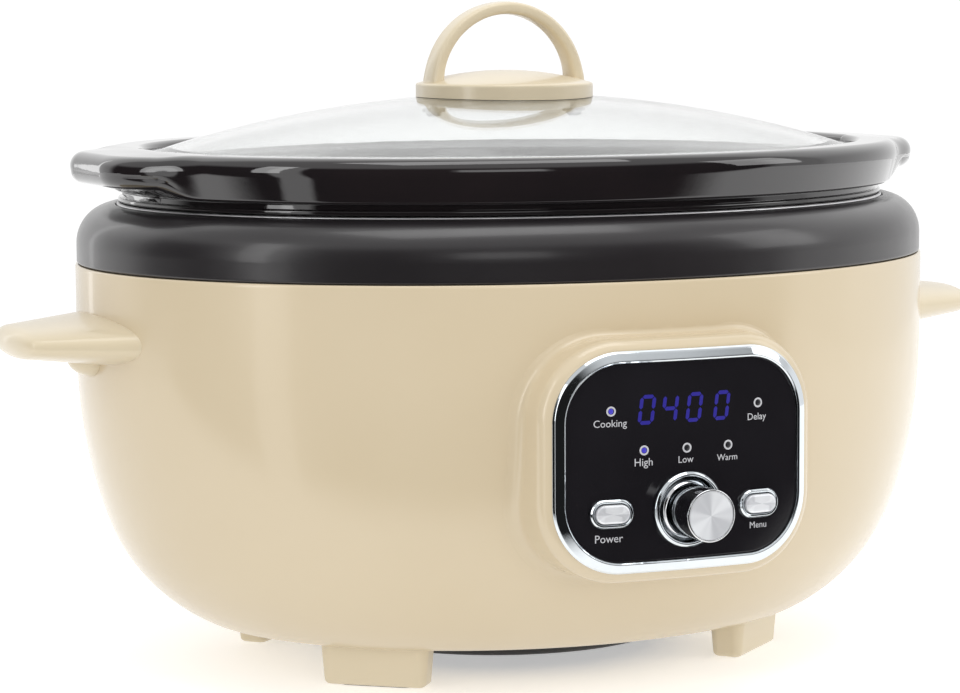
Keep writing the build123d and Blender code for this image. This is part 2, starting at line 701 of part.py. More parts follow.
def make_arch():
    """A half ring of rounded section whose legs run down to the glass."""
    thick, width = ARCH_BAND
    section = Plane.XY * Pos(arch_leg_x(), 0) * RectangleRounded(thick, width, 2.2)
    ring = Pos(0, 0, ARCH_CENTRE_Z) * revolve(section, Axis.Y, 360)
    ring -= block((100, 40, 60), (-50, -20, ARCH_CENTRE_Z - 60))
    legs = [Pos(x * arch_leg_x(), 0, ARCH_CENTRE_Z) * extrude(RectangleRounded(thick, width, 2.2), -12)
            for x in (-1, 1)]
    arch = ring + legs[0] + legs[1] - Pos(0, 0, 0.1) * lid_outer()
    for x in (-1, 1):
        arch -= rod(x * arch_leg_x(), 0, ARCH_CENTRE_Z, 1.55, 14)
    return arch


def make_handle_base():
    """A low domed disc shaped to the glass, notched for the arch's legs."""
    radius = HANDLE_RADIUS
    edges = [
        Line((0, 0, HANDLE_DOME_Z), (0, 0, 215)),
        Line((0, 0, 215), (radius, 0, 215)),
        Line((radius, 0, 215), (radius, 0, HANDLE_EDGE_Z)),
        dome_arc(radius, HANDLE_EDGE_Z, HANDLE_DOME_Z),
    ]
    disc = revolve(make_face(edges), Axis.Z) - Pos(0, 0, 0.1) * lid_outer()
    for x in (-1, 1):
        disc -= Pos(x * arch_leg_x(), 0, 210) * extrude(RectangleRounded(*grown(ARCH_BAND, 0.1), 2.2), 40)
    return disc


def lid_under_z(x):
    """Height of the lid's lower surface on the X axis."""
    inner_x = LID_SHOULDER[0] - 1.5
    top = LID_TOP_Z - LID_THICK
    return top - (top - SEAT_Z - GAP) * (x / inner_x) ** 2


def make_lid_washers():
    low = lid_under_z(arch_leg_x()) - 1.9
    ring = Cylinder(4.6, 1.4) - Cylinder(1.7, 10)
    return group(Pos(x * arch_leg_x(), 0, low) * ring for x in (-1, 1))


def make_lid_screws():
    low = lid_under_z(arch_leg_x()) - 2.6
    screw = pan_head_screw(3.2, 1.8, 1.5, 13.0)
    return group(Pos(x * arch_leg_x(), 0, low) * screw for x in (-1, 1))


def upright(screw, places, z):
    """The same screw at several places, heads down, under a surface at z."""
    return group(Pos(x, y, z) * screw for x, y in places)


def main():
    os.makedirs("parts", exist_ok=True)
    lens = make_lens()
    save("casing", make_casing())
    save("collar", make_collar())
    save("base_plate", make_base_plate())
    save("base_screws", upright(pan_head_screw(3.0, 1.8, 1.5, 7.0), pan_screw_places(), UNDERSIDE_Z))
    for name, (spot, turn) in foot_places().items():
        save("foot_" + name, make_foot(spot, turn))
    save("foot_pads", make_foot_pads())
    tab_z = UNDERSIDE_Z - GAP - FOOT_TAB[1]
    save("foot_screws", upright(pan_head_screw(3.0, 1.8, 1.5, 12.0), foot_screw_places(), tab_z))
    for name, side in (("left", -1), ("right", 1)):
        save("side_handle_" + name, make_side_handle(side))
    save("side_handle_screws", make_side_handle_screws())
    save("cord_inlet", make_cord_inlet())
    save("liner", make_liner())
    save("heater_band", liner_band(60.0, 120.0, 0.3, 1.5))
    save("insulation_wrap", liner_band(52.0, 150.0, 2.0, 6.0))
    save("liner_brackets", make_liner_brackets())
    save("temperature_sensor", make_temperature_sensor())
    save("thermal_fuse", make_thermal_fuse())
    save("bezel", make_bezel())
    save("panel_lens", lens)
    save("panel_carrier", make_carrier())
    save("display_module", make_display_module())
    save("display_segments", make_display_segments())
    save("indicator_lamps", make_lamps())
    save("knob_ring", make_knob_ring(lens))
    save("knob_body", make_knob_body())
    save("knob_face", make_knob_face())
    save("encoder_shaft", make_encoder_shaft())
    save("encoder_body", make_encoder_body())
    for name, spot in button_spots().items():
        save(name + "_button_frame", make_button_frame(spot, lens))
        save(name + "_button", make_button(spot))
    save("tact_switches", make_tact_switches())
    save("control_board", make_control_board())
    save("board_screws", make_board_screws())
    save("controller_chip", make_controller_chip())
    save("buzzer", make_buzzer())
    save("power_board", make_power_board())
    save("relay", on_power_board((19, 15, 15.5), 24, -8))
    save("transformer", make_transformer())
    save("capacitor", rod(2, -12, POWER_BOARD_Z + BOARD_THICK + 6, 5.0, 12.0))
    save("terminal_block", make_terminal_block())
    save("crock", make_crock())
    save("lid_glass", make_lid_glass())
    save("lid_handle_arch", make_arch())
    save("lid_handle_base", make_handle_base())
    save("lid_handle_washers", make_lid_washers())
    save("lid_handle_screws", make_lid_screws())


main()
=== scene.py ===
import json
import math

import bmesh
import bpy
import numpy as np
from bpy.props import FloatProperty, FloatVectorProperty, PointerProperty
from mathutils import Matrix, Vector


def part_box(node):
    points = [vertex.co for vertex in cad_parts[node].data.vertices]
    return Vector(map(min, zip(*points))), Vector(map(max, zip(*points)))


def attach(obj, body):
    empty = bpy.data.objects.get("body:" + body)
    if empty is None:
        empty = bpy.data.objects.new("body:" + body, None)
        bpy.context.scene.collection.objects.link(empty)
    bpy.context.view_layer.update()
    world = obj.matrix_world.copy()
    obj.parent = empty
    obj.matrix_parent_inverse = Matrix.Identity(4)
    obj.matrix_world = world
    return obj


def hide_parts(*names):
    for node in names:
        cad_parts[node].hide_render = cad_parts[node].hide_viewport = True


bl_info = {
    "name": "Oval slow cooker",
    "version": (1, 0, 0),
    "blender": (4, 5, 0),
    "location": "View3D > Sidebar > Slow cooker",
    "description": "Builds an oval slow cooker's surfaces and finishes around its CAD frame",
    "category": "Add Mesh",
}

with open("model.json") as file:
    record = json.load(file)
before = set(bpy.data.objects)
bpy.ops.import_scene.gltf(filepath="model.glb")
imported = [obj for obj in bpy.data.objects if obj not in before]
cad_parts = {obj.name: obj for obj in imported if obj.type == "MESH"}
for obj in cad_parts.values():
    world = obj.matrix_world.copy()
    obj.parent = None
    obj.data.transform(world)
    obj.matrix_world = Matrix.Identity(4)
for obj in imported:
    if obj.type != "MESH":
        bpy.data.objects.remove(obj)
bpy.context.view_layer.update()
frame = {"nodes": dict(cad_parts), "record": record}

# Every shape below is worked out in millimetres about the oval's centre line,
# and put in the frame's metres when its mesh is made.
MM = 0.001


def node_box(name):
    """A CAD node's lowest and highest corners in millimetres, about the oval's centre line."""
    low, high = (np.array(corner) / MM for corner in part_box(name))
    return low - CENTRE, high - CENTRE


CENTRE = np.zeros(3)
COLLAR_LOW, COLLAR_HIGH = node_box("collar")
CENTRE[1] = (COLLAR_LOW[1] + COLLAR_HIGH[1]) / 2
RATIO = (COLLAR_HIGH[1] - COLLAR_LOW[1]) / (COLLAR_HIGH[0] - COLLAR_LOW[0])

# ---- casing
WALL = 2.6
BELLY_TOP = 124.877
BELLY_ARCS = ((190.0, 20.0), (73.7, 43.6), (20.0, 26.4))
PAN_OPENING = (72.0, 66.0)

# ---- panel
PANEL_RADIUS = 318.0
PANEL_FRONT = -159.7
PANEL_MIDDLE_Z = 96.8
LENS_HALF = (48.3, 36.9)
LENS_CORNER = 22.0
LENS_THICK = 2.0
BOSS_MARGIN = 8.4
BOSS_SINK = 1.0
CONTROL_Z = 78.4
BUTTON_X = 30.6
BUTTON_HALF = (6.7, 3.5)
LAMP_PLACES = ((-30.6, 116.2), (-17.5, 101.2), (0.0, 101.2), (17.5, 101.2), (30.6, 116.2))
LAMPS_LIT = (0, 1)
LAMP_RADIUS = 1.05
DIGIT_Z = 116.2
DIGIT_XS = (-16.4, -7.0, 3.1, 14.7)
DIGITS = ("abcdef", "bcfg", "abcdef", "abcdef")
LABELS = (
    ("Cooking", -30.9, 111.8, 13.0),
    ("Delay", 30.2, 111.1, 8.2),
    ("High", -17.7, 96.9, 7.2),
    ("Low", -0.4, 97.0, 6.2),
    ("Warm", 17.1, 96.7, 8.8),
    ("Power", -31.4, 69.2, 10.9),
    ("Menu", 30.9, 70.2, 7.4),
)

# ---- crock and its lugs
LUG_END = 179.5
LUG_HALF = 46.0
LUG_CORNER = 30.0

# ---- lid and its handle
LID_TOP = 227.7
LID_SHOULDER = (142.5, 206.7)
DISC_RADIUS = 36.2
ARCH_RADIUS = 34.1
ARCH_SECTION = (5.2, 11.4)
ARCH_MIDDLE_Z = 230.8

# ---- side grips and feet
GRIP_TIP = 213.0
GRIP_Z = 135.4
GRIP_NOSE = 6.4
GRIP_ROOT = (160.0, 11.6)
GRIP_SPREAD = 3.9
FOOT_HALF = (22.0, 7.5)
FOOT_PLACES = {
    "front_left": (-81.3, -56.2, -40.0),
    "front_right": (81.3, -56.2, 40.0),
    "back_left": (-81.3, 56.2, 220.0),
    "back_right": (81.3, 56.2, 140.0),
}


# ------------------------------------------------------------------ profiles and outlines

def rounded_path(corners, radii, steps=8, splits=1, closed=False):
    """A path of straight runs whose corners are circular arcs. An arc of radius r that turns
    by t starts r tan(t/2) before its corner. Every arc has steps parts, and every run
    splits parts, the outer two short, so that two paths with the same corners match."""
    corners = np.asarray(corners, float)
    count = len(corners)
    radii = np.broadcast_to(radii, count)
    splits = np.broadcast_to(splits, count)
    arcs = []
    for i in range(count):
        corner, radius = corners[i], radii[i]
        if radius <= 0 or (not closed and i in (0, count - 1)):
            arcs.append(corner[None])
            continue
        back = corners[i - 1] - corner
        ahead = corners[(i + 1) % count] - corner
        back, ahead = back / np.linalg.norm(back), ahead / np.linalg.norm(ahead)
        turn = math.pi - math.acos(np.clip(back @ ahead, -1, 1))
        reach = radius * math.tan(turn / 2)
        middle = (back + ahead) / np.linalg.norm(back + ahead)
        centre = corner + middle * radius / math.cos(turn / 2)
        first, last = corner + back * reach - centre, corner + ahead * reach - centre
        part = np.linspace(0, turn, steps + 1)[:, None]
        arcs.append(centre + (np.sin(turn - part) * first + np.sin(part) * last) / math.sin(turn))
    pieces = []
    for i in range(count):
        pieces.append(arcs[i])
        if i == count - 1 and not closed:
            break
        start, end = arcs[i][-1], arcs[(i + 1) % count][0]
        if splits[i] > 1:
            edge = min(0.5 / max(np.linalg.norm(end - start), 1e-6), 0.2)
            part = np.concatenate([[edge], np.linspace(0, 1, splits[i] + 1)[1:-1], [1 - edge]])
            part = np.clip(part, edge, 1 - edge)[:, None]
            pieces.append(start + (end - start) * np.unique(part, axis=0))
    return np.vstack(pieces)


def belly_path(inset, steps=14):
    """The casing's side from the belly's widest height down to its flat underside: three
    tangent arcs about centres that step inwards, moved inwards by inset."""
    half = COLLAR_HIGH[0] + 0.6
    centre = np.array([half - BELLY_ARCS[0][0], BELLY_TOP])
    angle = 0.0
    points = [np.array([[half - inset, BELLY_TOP]])]
    for index, (radius, turn) in enumerate(BELLY_ARCS):
        turns = np.radians(angle + np.linspace(0, turn, steps + 1)[1:])
        direction = np.stack([np.cos(turns), -np.sin(turns)], 1)
        points.append(centre + (radius - inset) * direction)
        angle += turn
        if index + 1 < len(BELLY_ARCS):
            centre = centre + (radius - BELLY_ARCS[index + 1][0]) * direction[-1]
    return np.vstack(points)


def box_outline(half, corner, count=40):
    """A rounded rectangle as points on its inner rectangle and the outward direction there.
    A point at distance s outside it is inner + (corner + s) * direction."""
    inner = np.array(half, float) - corner
    quarter = np.linspace(0, math.pi / 2, count // 4 + 1)
    inners, directions = [], []
    signs = ((1, 1), (-1, 1), (-1, -1), (1, -1))
    for index, (sx, sy) in enumerate(signs):
        angles = quarter + index * math.pi / 2
        directions.append(np.stack([np.cos(angles), np.sin(angles)], 1))
        inners.append(np.tile([sx * inner[0], sy * inner[1]], (len(angles), 1)))
        nx, ny = signs[(index + 1) % 4]
        part = np.array([0.04, 0.25, 0.5, 0.75, 0.96])[:, None]
        start, end = inners[-1][-1], np.array([nx * inner[0], ny * inner[1]])
        inners.append(start + (end - start) * part)
        directions.append(np.tile(directions[-1][-1], (len(part), 1)))
    return np.vstack(inners), np.vstack(directions)


# ------------------------------------------------------------------ surfaces

def sheet(points, wrap_rows=False, wrap_columns=True):
    return {"points": np.asarray(points, float), "rows": wrap_rows, "columns": wrap_columns}


def make_mesh(name, sheets, sharp=38.0, seamless=True):
    """One mesh from grids of points in millimetres. Neighbouring points make quads, a wrapped
    side joins its last line to its first, and points in one place are merged, which turns a
    line that has shrunk to a pole into triangles."""
    points, quads, corners, start = [], [], [], 0
    for part in sheets:
        grid = part["points"]
        rows, columns = grid.shape[:2]
        index = np.arange(rows * columns).reshape(rows, columns) + start
        start += rows * columns
        if part["rows"]:
            index = np.vstack([index, index[:1]])
        if part["columns"]:
            index = np.hstack([index, index[:, :1]])
        across, along = np.meshgrid(np.linspace(0, 1, index.shape[1]), np.linspace(0, 1, index.shape[0]))
        uv = np.stack([across, along], -1)
        around = [(slice(None, -1), slice(None, -1)), (slice(None, -1), slice(1, None)),
                  (slice(1, None), slice(1, None)), (slice(1, None), slice(None, -1))]
        quads.append(np.stack([index[place] for place in around], -1).reshape(-1, 4))
        corners.append(np.stack([uv[place] for place in around], -2).reshape(-1, 2))
        points.append(grid.reshape(-1, 3))
    places = (np.vstack(points) + CENTRE) * MM
    mesh = bpy.data.meshes.new(name)
    mesh.from_pydata(places.tolist(), [], np.vstack(quads).tolist())
    layer = mesh.uv_layers.new(name="around")
    layer.data.foreach_set("uv", np.vstack(corners).ravel())
    bm = bmesh.new()
    bm.from_mesh(mesh)
    bmesh.ops.remove_doubles(bm, verts=bm.verts, dist=2e-6)
    bmesh.ops.dissolve_degenerate(bm, edges=bm.edges, dist=1e-7)
    if seamless:
        bmesh.ops.recalc_face_normals(bm, faces=bm.faces)
    bm.to_mesh(mesh)
    bm.free()
    mesh.shade_smooth()
    mesh.set_sharp_from_angle(angle=math.radians(sharp))
    return mesh


def place(mesh, body, slot_name, material, replaced=()):
    """Links a mesh as a piece that rides on a CAD body and stands for CAD nodes."""
    piece = bpy.data.objects.new(mesh.name, mesh)
    bpy.context.scene.collection.objects.link(piece)
    mesh.materials.clear()
    mesh.materials.append(material)
    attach(piece, body)
    if replaced:
        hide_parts(*replaced)
    return piece


def oval_turned(path, turns=256, half_depths=None):
    """A profile of (half length, height) turned into an oval: x = a cos t, y = b sin t, with
    b the half depth, which is RATIO times the half length unless it is given."""
    a, z = path[:, 0], path[:, 1]
    b = a * RATIO if half_depths is None else half_depths
    t = np.linspace(0, 2 * math.pi, turns, endpoint=False)
    return np.stack([np.outer(a, np.cos(t)), np.outer(b, np.sin(t)),
                     np.repeat(z[:, None], turns, 1)], -1)


def panel_turned(path, x, z, turns=96):
    """A profile of (radius, depth behind the panel) turned about an axis along Y."""
    t = np.linspace(0, 2 * math.pi, turns, endpoint=False)
    radius = path[:, 0]
    return np.stack([x + np.outer(radius, np.cos(t)),
                     PANEL_FRONT + np.repeat(path[:, 1:2], turns, 1),
                     z + np.outer(radius, np.sin(t))], -1)


def panel_face(x):
    """The panel's curved face: y grows from its middle as R - sqrt(R^2 - x^2)."""
    return PANEL_FRONT + PANEL_RADIUS - np.sqrt(PANEL_RADIUS ** 2 - x ** 2)


def panel_loops(half, corner, path, count=64):
    """A profile of (distance outside a rounded rectangle, depth) carried round it on the
    panel's curved face."""
    inner, direction = box_outline(half, corner, count)
    across = inner[None] + (corner + path[:, 0])[:, None, None] * direction[None]
    y = panel_face(across[..., 0]) + path[:, 1][:, None]
    return np.stack([across[..., 0], y, PANEL_MIDDLE_Z + across[..., 1]], -1)


def button_spot(side):
    """The key's place on the panel: its middle, and the directions along the face and out."""
    x = side * BUTTON_X
    turn = math.asin(x / PANEL_RADIUS)
    along = np.array([math.cos(turn), math.sin(turn), 0])
    out = np.array([math.sin(turn), -math.cos(turn), 0])
    return np.array([x, panel_face(x), CONTROL_Z]), along, out


def key_loops(side, half, corner, path, count=48):
    """A profile of (distance outside a stadium, depth) carried round a key's stadium."""
    middle, along, out = button_spot(side)
    inner, direction = box_outline(half, corner, count)
    across = inner[None] + (corner + path[:, 0])[:, None, None] * direction[None]
    flat = across * np.minimum(1.0, path[:, 2])[:, None, None] if path.shape[1] > 2 else across
    return (middle + flat[..., :1] * along + flat[..., 1:] * np.array([0, 0, 1.0])
            - path[:, 1][:, None, None] * out)


def cut(target, cutter_mesh):
    """Takes a closed mesh out of a piece for good."""
    cutter = bpy.data.objects.new("cutter", cutter_mesh)
    bpy.context.scene.collection.objects.link(cutter)
    work = bpy.data.objects.new("work", target)
    bpy.context.scene.collection.objects.link(work)
    knife = work.modifiers.new("cut", "BOOLEAN")
    knife.operation = "DIFFERENCE"
    knife.solver = "EXACT"
    knife.object = cutter
    graph = bpy.context.evaluated_depsgraph_get()
    result = bpy.data.meshes.new_from_object(work.evaluated_get(graph))
    result.name = target.name
    bpy.data.objects.remove(work)
    bpy.data.objects.remove(cutter)
    return result


# ------------------------------------------------------------------ shared shader groups

def new_group(name, inputs, outputs):
    group = bpy.data.node_groups.new(name, "ShaderNodeTree")
    for label, kind, value in inputs:
        socket = group.interface.new_socket(label, in_out="INPUT", socket_type="NodeSocket" + kind)
        socket.default_value = value
    for label, kind in outputs:
        group.interface.new_socket(label, in_out="OUTPUT", socket_type="NodeSocket" + kind)
    return group, group.nodes.new("NodeGroupInput"), group.nodes.new("NodeGroupOutput")


def uneven_group():
    """Slow noise in object space, spread between two values: uneven gloss or tone."""
    group, given, result = new_group(
        "uneven", [("Scale", "Float", 20.0), ("Low", "Float", 0.0), ("High", "Float", 1.0)],
        [("Value", "Float")])
    nodes, links = group.nodes, group.links
    where = nodes.new("ShaderNodeTexCoord")
    noise = nodes.new("ShaderNodeTexNoise")
    noise.inputs["Detail"].default_value = 4.0
    noise.inputs["Roughness"].default_value = 0.55
    spread = nodes.new("ShaderNodeMapRange")
    spread.inputs["From Min"].default_value = 0.3
    spread.inputs["From Max"].default_value = 0.7
    links.new(where.outputs["Object"], noise.inputs["Vector"])
    links.new(given.outputs["Scale"], noise.inputs["Scale"])
    links.new(noise.outputs["Fac"], spread.inputs["Value"])
    links.new(given.outputs["Low"], spread.inputs["To Min"])
    links.new(given.outputs["High"], spread.inputs["To Max"])
    links.new(spread.outputs["Result"], result.inputs["Value"])
    return group


def grain_group():
    """Fine moulding grain over a slow swell, as a height."""
    group, given, result = new_group(
        "grain", [("Fine Scale", "Float", 2500.0), ("Swell Scale", "Float", 30.0),
                  ("Swell", "Float", 0.5)], [("Height", "Float")])
    nodes, links = group.nodes, group.links
    where = nodes.new("ShaderNodeTexCoord")
    fine, slow = nodes.new("ShaderNodeTexNoise"), nodes.new("ShaderNodeTexNoise")
    fine.inputs["Detail"].default_value = 2.0
    slow.inputs["Detail"].default_value = 1.0
    for noise, scale in ((fine, "Fine Scale"), (slow, "Swell Scale")):
        links.new(where.outputs["Object"], noise.inputs["Vector"])
        links.new(given.outputs[scale], noise.inputs["Scale"])
    both = nodes.new("ShaderNodeMix")
    links.new(given.outputs["Swell"], both.inputs["Factor"])
    links.new(fine.outputs["Fac"], both.inputs["A"])
    links.new(slow.outputs["Fac"], both.inputs["B"])
    links.new(both.outputs["Result"], result.inputs["Height"])
    return group


def wear_group():
    """A mask of the edges that handling rubs bright, broken up by noise."""
    group, given, result = new_group(
        "edge_wear", [("Amount", "Float", 0.5), ("Scale", "Float", 300.0)], [("Mask", "Float")])
    nodes, links = group.nodes, group.links
    shape = nodes.new("ShaderNodeNewGeometry")
    edge = nodes.new("ShaderNodeMapRange")
    edge.inputs["From Min"].default_value = 0.52
    edge.inputs["From Max"].default_value = 0.62
    where, noise = nodes.new("ShaderNodeTexCoord"), nodes.new("ShaderNodeTexNoise")
    times, more = nodes.new("ShaderNodeMath"), nodes.new("ShaderNodeMath")
    times.operation = more.operation = "MULTIPLY"
    links.new(shape.outputs["Pointiness"], edge.inputs["Value"])
    links.new(where.outputs["Object"], noise.inputs["Vector"])
    links.new(given.outputs["Scale"], noise.inputs["Scale"])
    links.new(edge.outputs["Result"], times.inputs[0])
    links.new(noise.outputs["Fac"], times.inputs[1])
    links.new(times.outputs["Value"], more.inputs[0])
    links.new(given.outputs["Amount"], more.inputs[1])
    links.new(more.outputs["Value"], result.inputs["Mask"])
    return group


def turning_group():
    """Fine rings left by a turning tool: noise that changes only along the radius, which is
    the second coordinate of the piece's own map."""
    group, given, result = new_group(
        "turning", [("Rings", "Float", 60.0), ("Low", "Float", 0.2), ("High", "Float", 0.3)],
        [("Height", "Float"), ("Value", "Float")])
    nodes, links = group.nodes, group.links
    where, split = nodes.new("ShaderNodeUVMap"), nodes.new("ShaderNodeSeparateXYZ")
    where.uv_map = "around"
    times, noise = nodes.new("ShaderNodeMath"), nodes.new("ShaderNodeTexNoise")
    times.operation = "MULTIPLY"
    noise.noise_dimensions = "1D"
    noise.inputs["Scale"].default_value = 1.0
    noise.inputs["Detail"].default_value = 3.0
    spread = nodes.new("ShaderNodeMapRange")
    links.new(where.outputs["UV"], split.inputs["Vector"])
    links.new(split.outputs["Y"], times.inputs[0])
    links.new(given.outputs["Rings"], times.inputs[1])
    links.new(times.outputs["Value"], noise.inputs["W"])
    links.new(noise.outputs["Fac"], spread.inputs["Value"])
    links.new(given.outputs["Low"], spread.inputs["To Min"])
    links.new(given.outputs["High"], spread.inputs["To Max"])
    links.new(noise.outputs["Fac"], result.inputs["Height"])
    links.new(spread.outputs["Result"], result.inputs["Value"])
    return group


def painted_highlight_wedges_group():
    """Painted highlight: bright wedges that cross a spun face from rim to rim, put in the colour in place
    of
    the sheen light gives turned metal: 0.5 + 0.5 cos(2 (t - turn)), with a finer wave over it, where t
    runs once round the piece's own map."""
    group, given, result = new_group(
        "painted_highlight_wedges", [("Turn", "Float", 0.6), ("Low", "Float", 0.0), ("High", "Float", 1.0)],
        [("Value", "Float")])
    nodes, links = group.nodes, group.links
    where, split = nodes.new("ShaderNodeUVMap"), nodes.new("ShaderNodeSeparateXYZ")
    where.uv_map = "around"
    links.new(where.outputs["UV"], split.inputs["Vector"])

    def step(operation, first, second=None):
        node = nodes.new("ShaderNodeMath")
        node.operation = operation
        for index, value in enumerate((first, second)):
            if isinstance(value, float):
                node.inputs[index].default_value = value
            elif value is not None:
                links.new(value, node.inputs[index])
        return node.outputs["Value"]

    angle = step("SUBTRACT", step("MULTIPLY", split.outputs["X"], 2 * math.pi), given.outputs["Turn"])
    broad = step("COSINE", step("MULTIPLY", angle, 2.0))
    fine = step("COSINE", step("ADD", step("MULTIPLY", angle, 8.0), 1.0))
    wave = step("ADD", step("MULTIPLY", broad, 0.72), step("MULTIPLY", fine, 0.28))
    spread = nodes.new("ShaderNodeMapRange")
    spread.interpolation_type = "SMOOTHSTEP"
    spread.inputs["From Min"].default_value = -0.8
    spread.inputs["From Max"].default_value = 0.9
    links.new(wave, spread.inputs["Value"])
    links.new(given.outputs["Low"], spread.inputs["To Min"])
    links.new(given.outputs["High"], spread.inputs["To Max"])
    links.new(spread.outputs["Result"], result.inputs["Value"])
    return group


GROUPS = {}


def shared_group(name):
    makers = {"uneven": uneven_group, "grain": grain_group, "edge_wear": wear_group,
              "turning": turning_group, "painted_highlight_wedges": painted_highlight_wedges_group}
    if name not in GROUPS:
        GROUPS[name] = makers[name]()
    return GROUPS[name]


# ------------------------------------------------------------------ finishes

class Finish:
    """A Principled material with helpers that place the shared groups in it."""

    def __init__(self, name, colour, roughness, **sockets):
        self.material = bpy.data.materials.new(name)
        self.material.use_nodes = True
        self.nodes = self.material.node_tree.nodes
        self.links = self.material.node_tree.links
        self.shader = self.nodes["Principled BSDF"]
        self.colour = (*colour, 1.0)
        self.set("Base Color", self.colour)
        self.set("Roughness", roughness)
        for label, value in sockets.items():
            self.set(label.replace("_", " "), value)

    def set(self, label, value):
        self.shader.inputs[label].default_value = value

    def group(self, name, **values):
        node = self.nodes.new("ShaderNodeGroup")
        node.node_tree = shared_group(name)
        for label, value in values.items():
            node.inputs[label.replace("_", " ")].default_value = value
        return node

    def uneven_gloss(self, scale, low, high):
        node = self.group("uneven", Scale=scale, Low=low, High=high)
        self.links.new(node.outputs["Value"], self.shader.inputs["Roughness"])
        return self

    def tone(self, other, scale, low=0.0, high=1.0):
        """The colour drifts towards another one in slow patches."""
        node = self.group("uneven", Scale=scale, Low=low, High=high)
        blend = self.nodes.new("ShaderNodeMix")
        blend.data_type = "RGBA"
        blend.inputs["A"].default_value = self.colour
        blend.inputs["B"].default_value = (*other, 1.0)
        self.links.new(node.outputs["Value"], blend.inputs["Factor"])
        self.links.new(blend.outputs["Result"], self.shader.inputs["Base Color"])
        self.last = blend.outputs["Result"]
        return self

    def grain(self, depth, fine=2500.0, swell_scale=30.0, swell=0.5):
        """A bump from the grain group, depth in metres."""
        node = self.group("grain", Fine_Scale=fine, Swell_Scale=swell_scale, Swell=swell)
        self.bump(node.outputs["Height"], depth)
        return self

    def bump(self, height, depth):
        bump = self.nodes.new("ShaderNodeBump")
        bump.inputs["Distance"].default_value = depth
        self.links.new(height, bump.inputs["Height"])
        self.links.new(bump.outputs["Normal"], self.shader.inputs["Normal"])

    def worn(self, bare, amount, scale=300.0):
        """Rubbed edges show another colour."""
        node = self.group("edge_wear", Amount=amount, Scale=scale)
        blend = self.nodes.new("ShaderNodeMix")
        blend.data_type = "RGBA"
        blend.inputs["A"].default_value = self.colour
        if getattr(self, "last", None):
            self.links.new(self.last, blend.inputs["A"])
        blend.inputs["B"].default_value = (*bare, 1.0)
        self.links.new(node.outputs["Mask"], blend.inputs["Factor"])
        self.links.new(blend.outputs["Result"], self.shader.inputs["Base Color"])
        return self

    def paint_highlight_wedges(self, other, turn):
        """Painted highlight and shade: the colour swings round the piece between its own bright tone and a
        darker one, in wedges that stand in for the sheen of spun metal.
        """
        node = self.group("painted_highlight_wedges", Turn=turn)
        blend = self.nodes.new("ShaderNodeMix")
        blend.data_type = "RGBA"
        blend.inputs["A"].default_value = (*other, 1.0)
        blend.inputs["B"].default_value = self.colour
        self.links.new(node.outputs["Value"], blend.inputs["Factor"])
        self.links.new(blend.outputs["Result"], self.shader.inputs["Base Color"])
        return self

    def turned(self, rings, low, high, depth, anisotropy):
        """Tool rings and the stretched sheen that they give, running round the piece."""
        node = self.group("turning", Rings=rings, Low=low, High=high)
        self.links.new(node.outputs["Value"], self.shader.inputs["Roughness"])
        self.bump(node.outputs["Height"], depth)
        self.set("Anisotropic", anisotropy)
        tangent = self.nodes.new("ShaderNodeTangent")
        tangent.direction_type = "UV_MAP"
        tangent.uv_map = "around"
        self.links.new(tangent.outputs["Tangent"], self.shader.inputs["Tangent"])
        return self


def ivory_finish(name, colour, roughness):
    darker = tuple(value * factor for value, factor in zip(colour, (0.965, 0.955, 0.93)))
    finish = Finish(name, colour, roughness, Specular_IOR_Level=0.5, Coat_Weight=0.35,
                    Coat_Roughness=0.06)
    finish.tone(darker, 9.0).uneven_gloss(45.0, roughness * 0.95, roughness * 1.15)
    return finish.grain(0.000012, fine=1800.0, swell_scale=22.0, swell=0.6).material


def charcoal_finish():
    finish = Finish("charcoal_satin", (0.019, 0.016, 0.018), 0.3, Specular_IOR_Level=0.6,
                    Coat_Weight=0.3, Coat_Roughness=0.12)
    finish.tone((0.014, 0.012, 0.0135), 14.0).uneven_gloss(60.0, 0.285, 0.33)
    return finish.grain(0.000025, fine=3500.0, swell_scale=25.0, swell=0.4).material


def glaze_finish():
    finish = Finish("crock_glaze", (0.010, 0.0085, 0.0095), 0.05, Specular_IOR_Level=0.6,
                    Coat_Weight=0.6, Coat_Roughness=0.02)
    finish.tone((0.016, 0.012, 0.013), 18.0).uneven_gloss(35.0, 0.03, 0.075)
    return finish.grain(0.00012, fine=160.0, swell_scale=22.0, swell=0.75).material


def chrome_finish(name="chrome_trim", colour=(0.72, 0.765, 0.80)):
    finish = Finish(name, colour, 0.06, Metallic=1.0)
    darker = tuple(value * 0.93 for value in colour)
    finish.tone(darker, 60.0).uneven_gloss(120.0, 0.03, 0.09)
    return finish.grain(0.000012, fine=900.0, swell_scale=120.0, swell=0.6).material


def spun_finish():
    finish = Finish("spun_metal", (0.93, 0.945, 0.97), 0.3, Metallic=0.3)
    # Painted highlight: bright wedges of the base colour, with a darker painted tone between them, stand
    # in for the bow-tie sheen of the spun knob face and keys.
    finish.paint_highlight_wedges((0.66, 0.67, 0.70), 0.75)
    return finish.turned(90.0, 0.285, 0.42, 0.00001, 0.7).material


def glass_finish():
    finish = Finish("lid_glass", (0.97, 0.985, 0.98), 0.0, Transmission_Weight=1.0, IOR=1.5)
    return finish.grain(0.00003, fine=60.0, swell_scale=14.0, swell=0.85).material


def panel_finish():
    finish = Finish("panel_black", (0.0105, 0.0095, 0.0115), 0.06, Specular_IOR_Level=0.5)
    finish.tone((0.013, 0.012, 0.0145), 30.0).uneven_gloss(70.0, 0.04, 0.09)
    return finish.grain(0.000008, fine=1200.0, swell_scale=40.0, swell=0.6).material


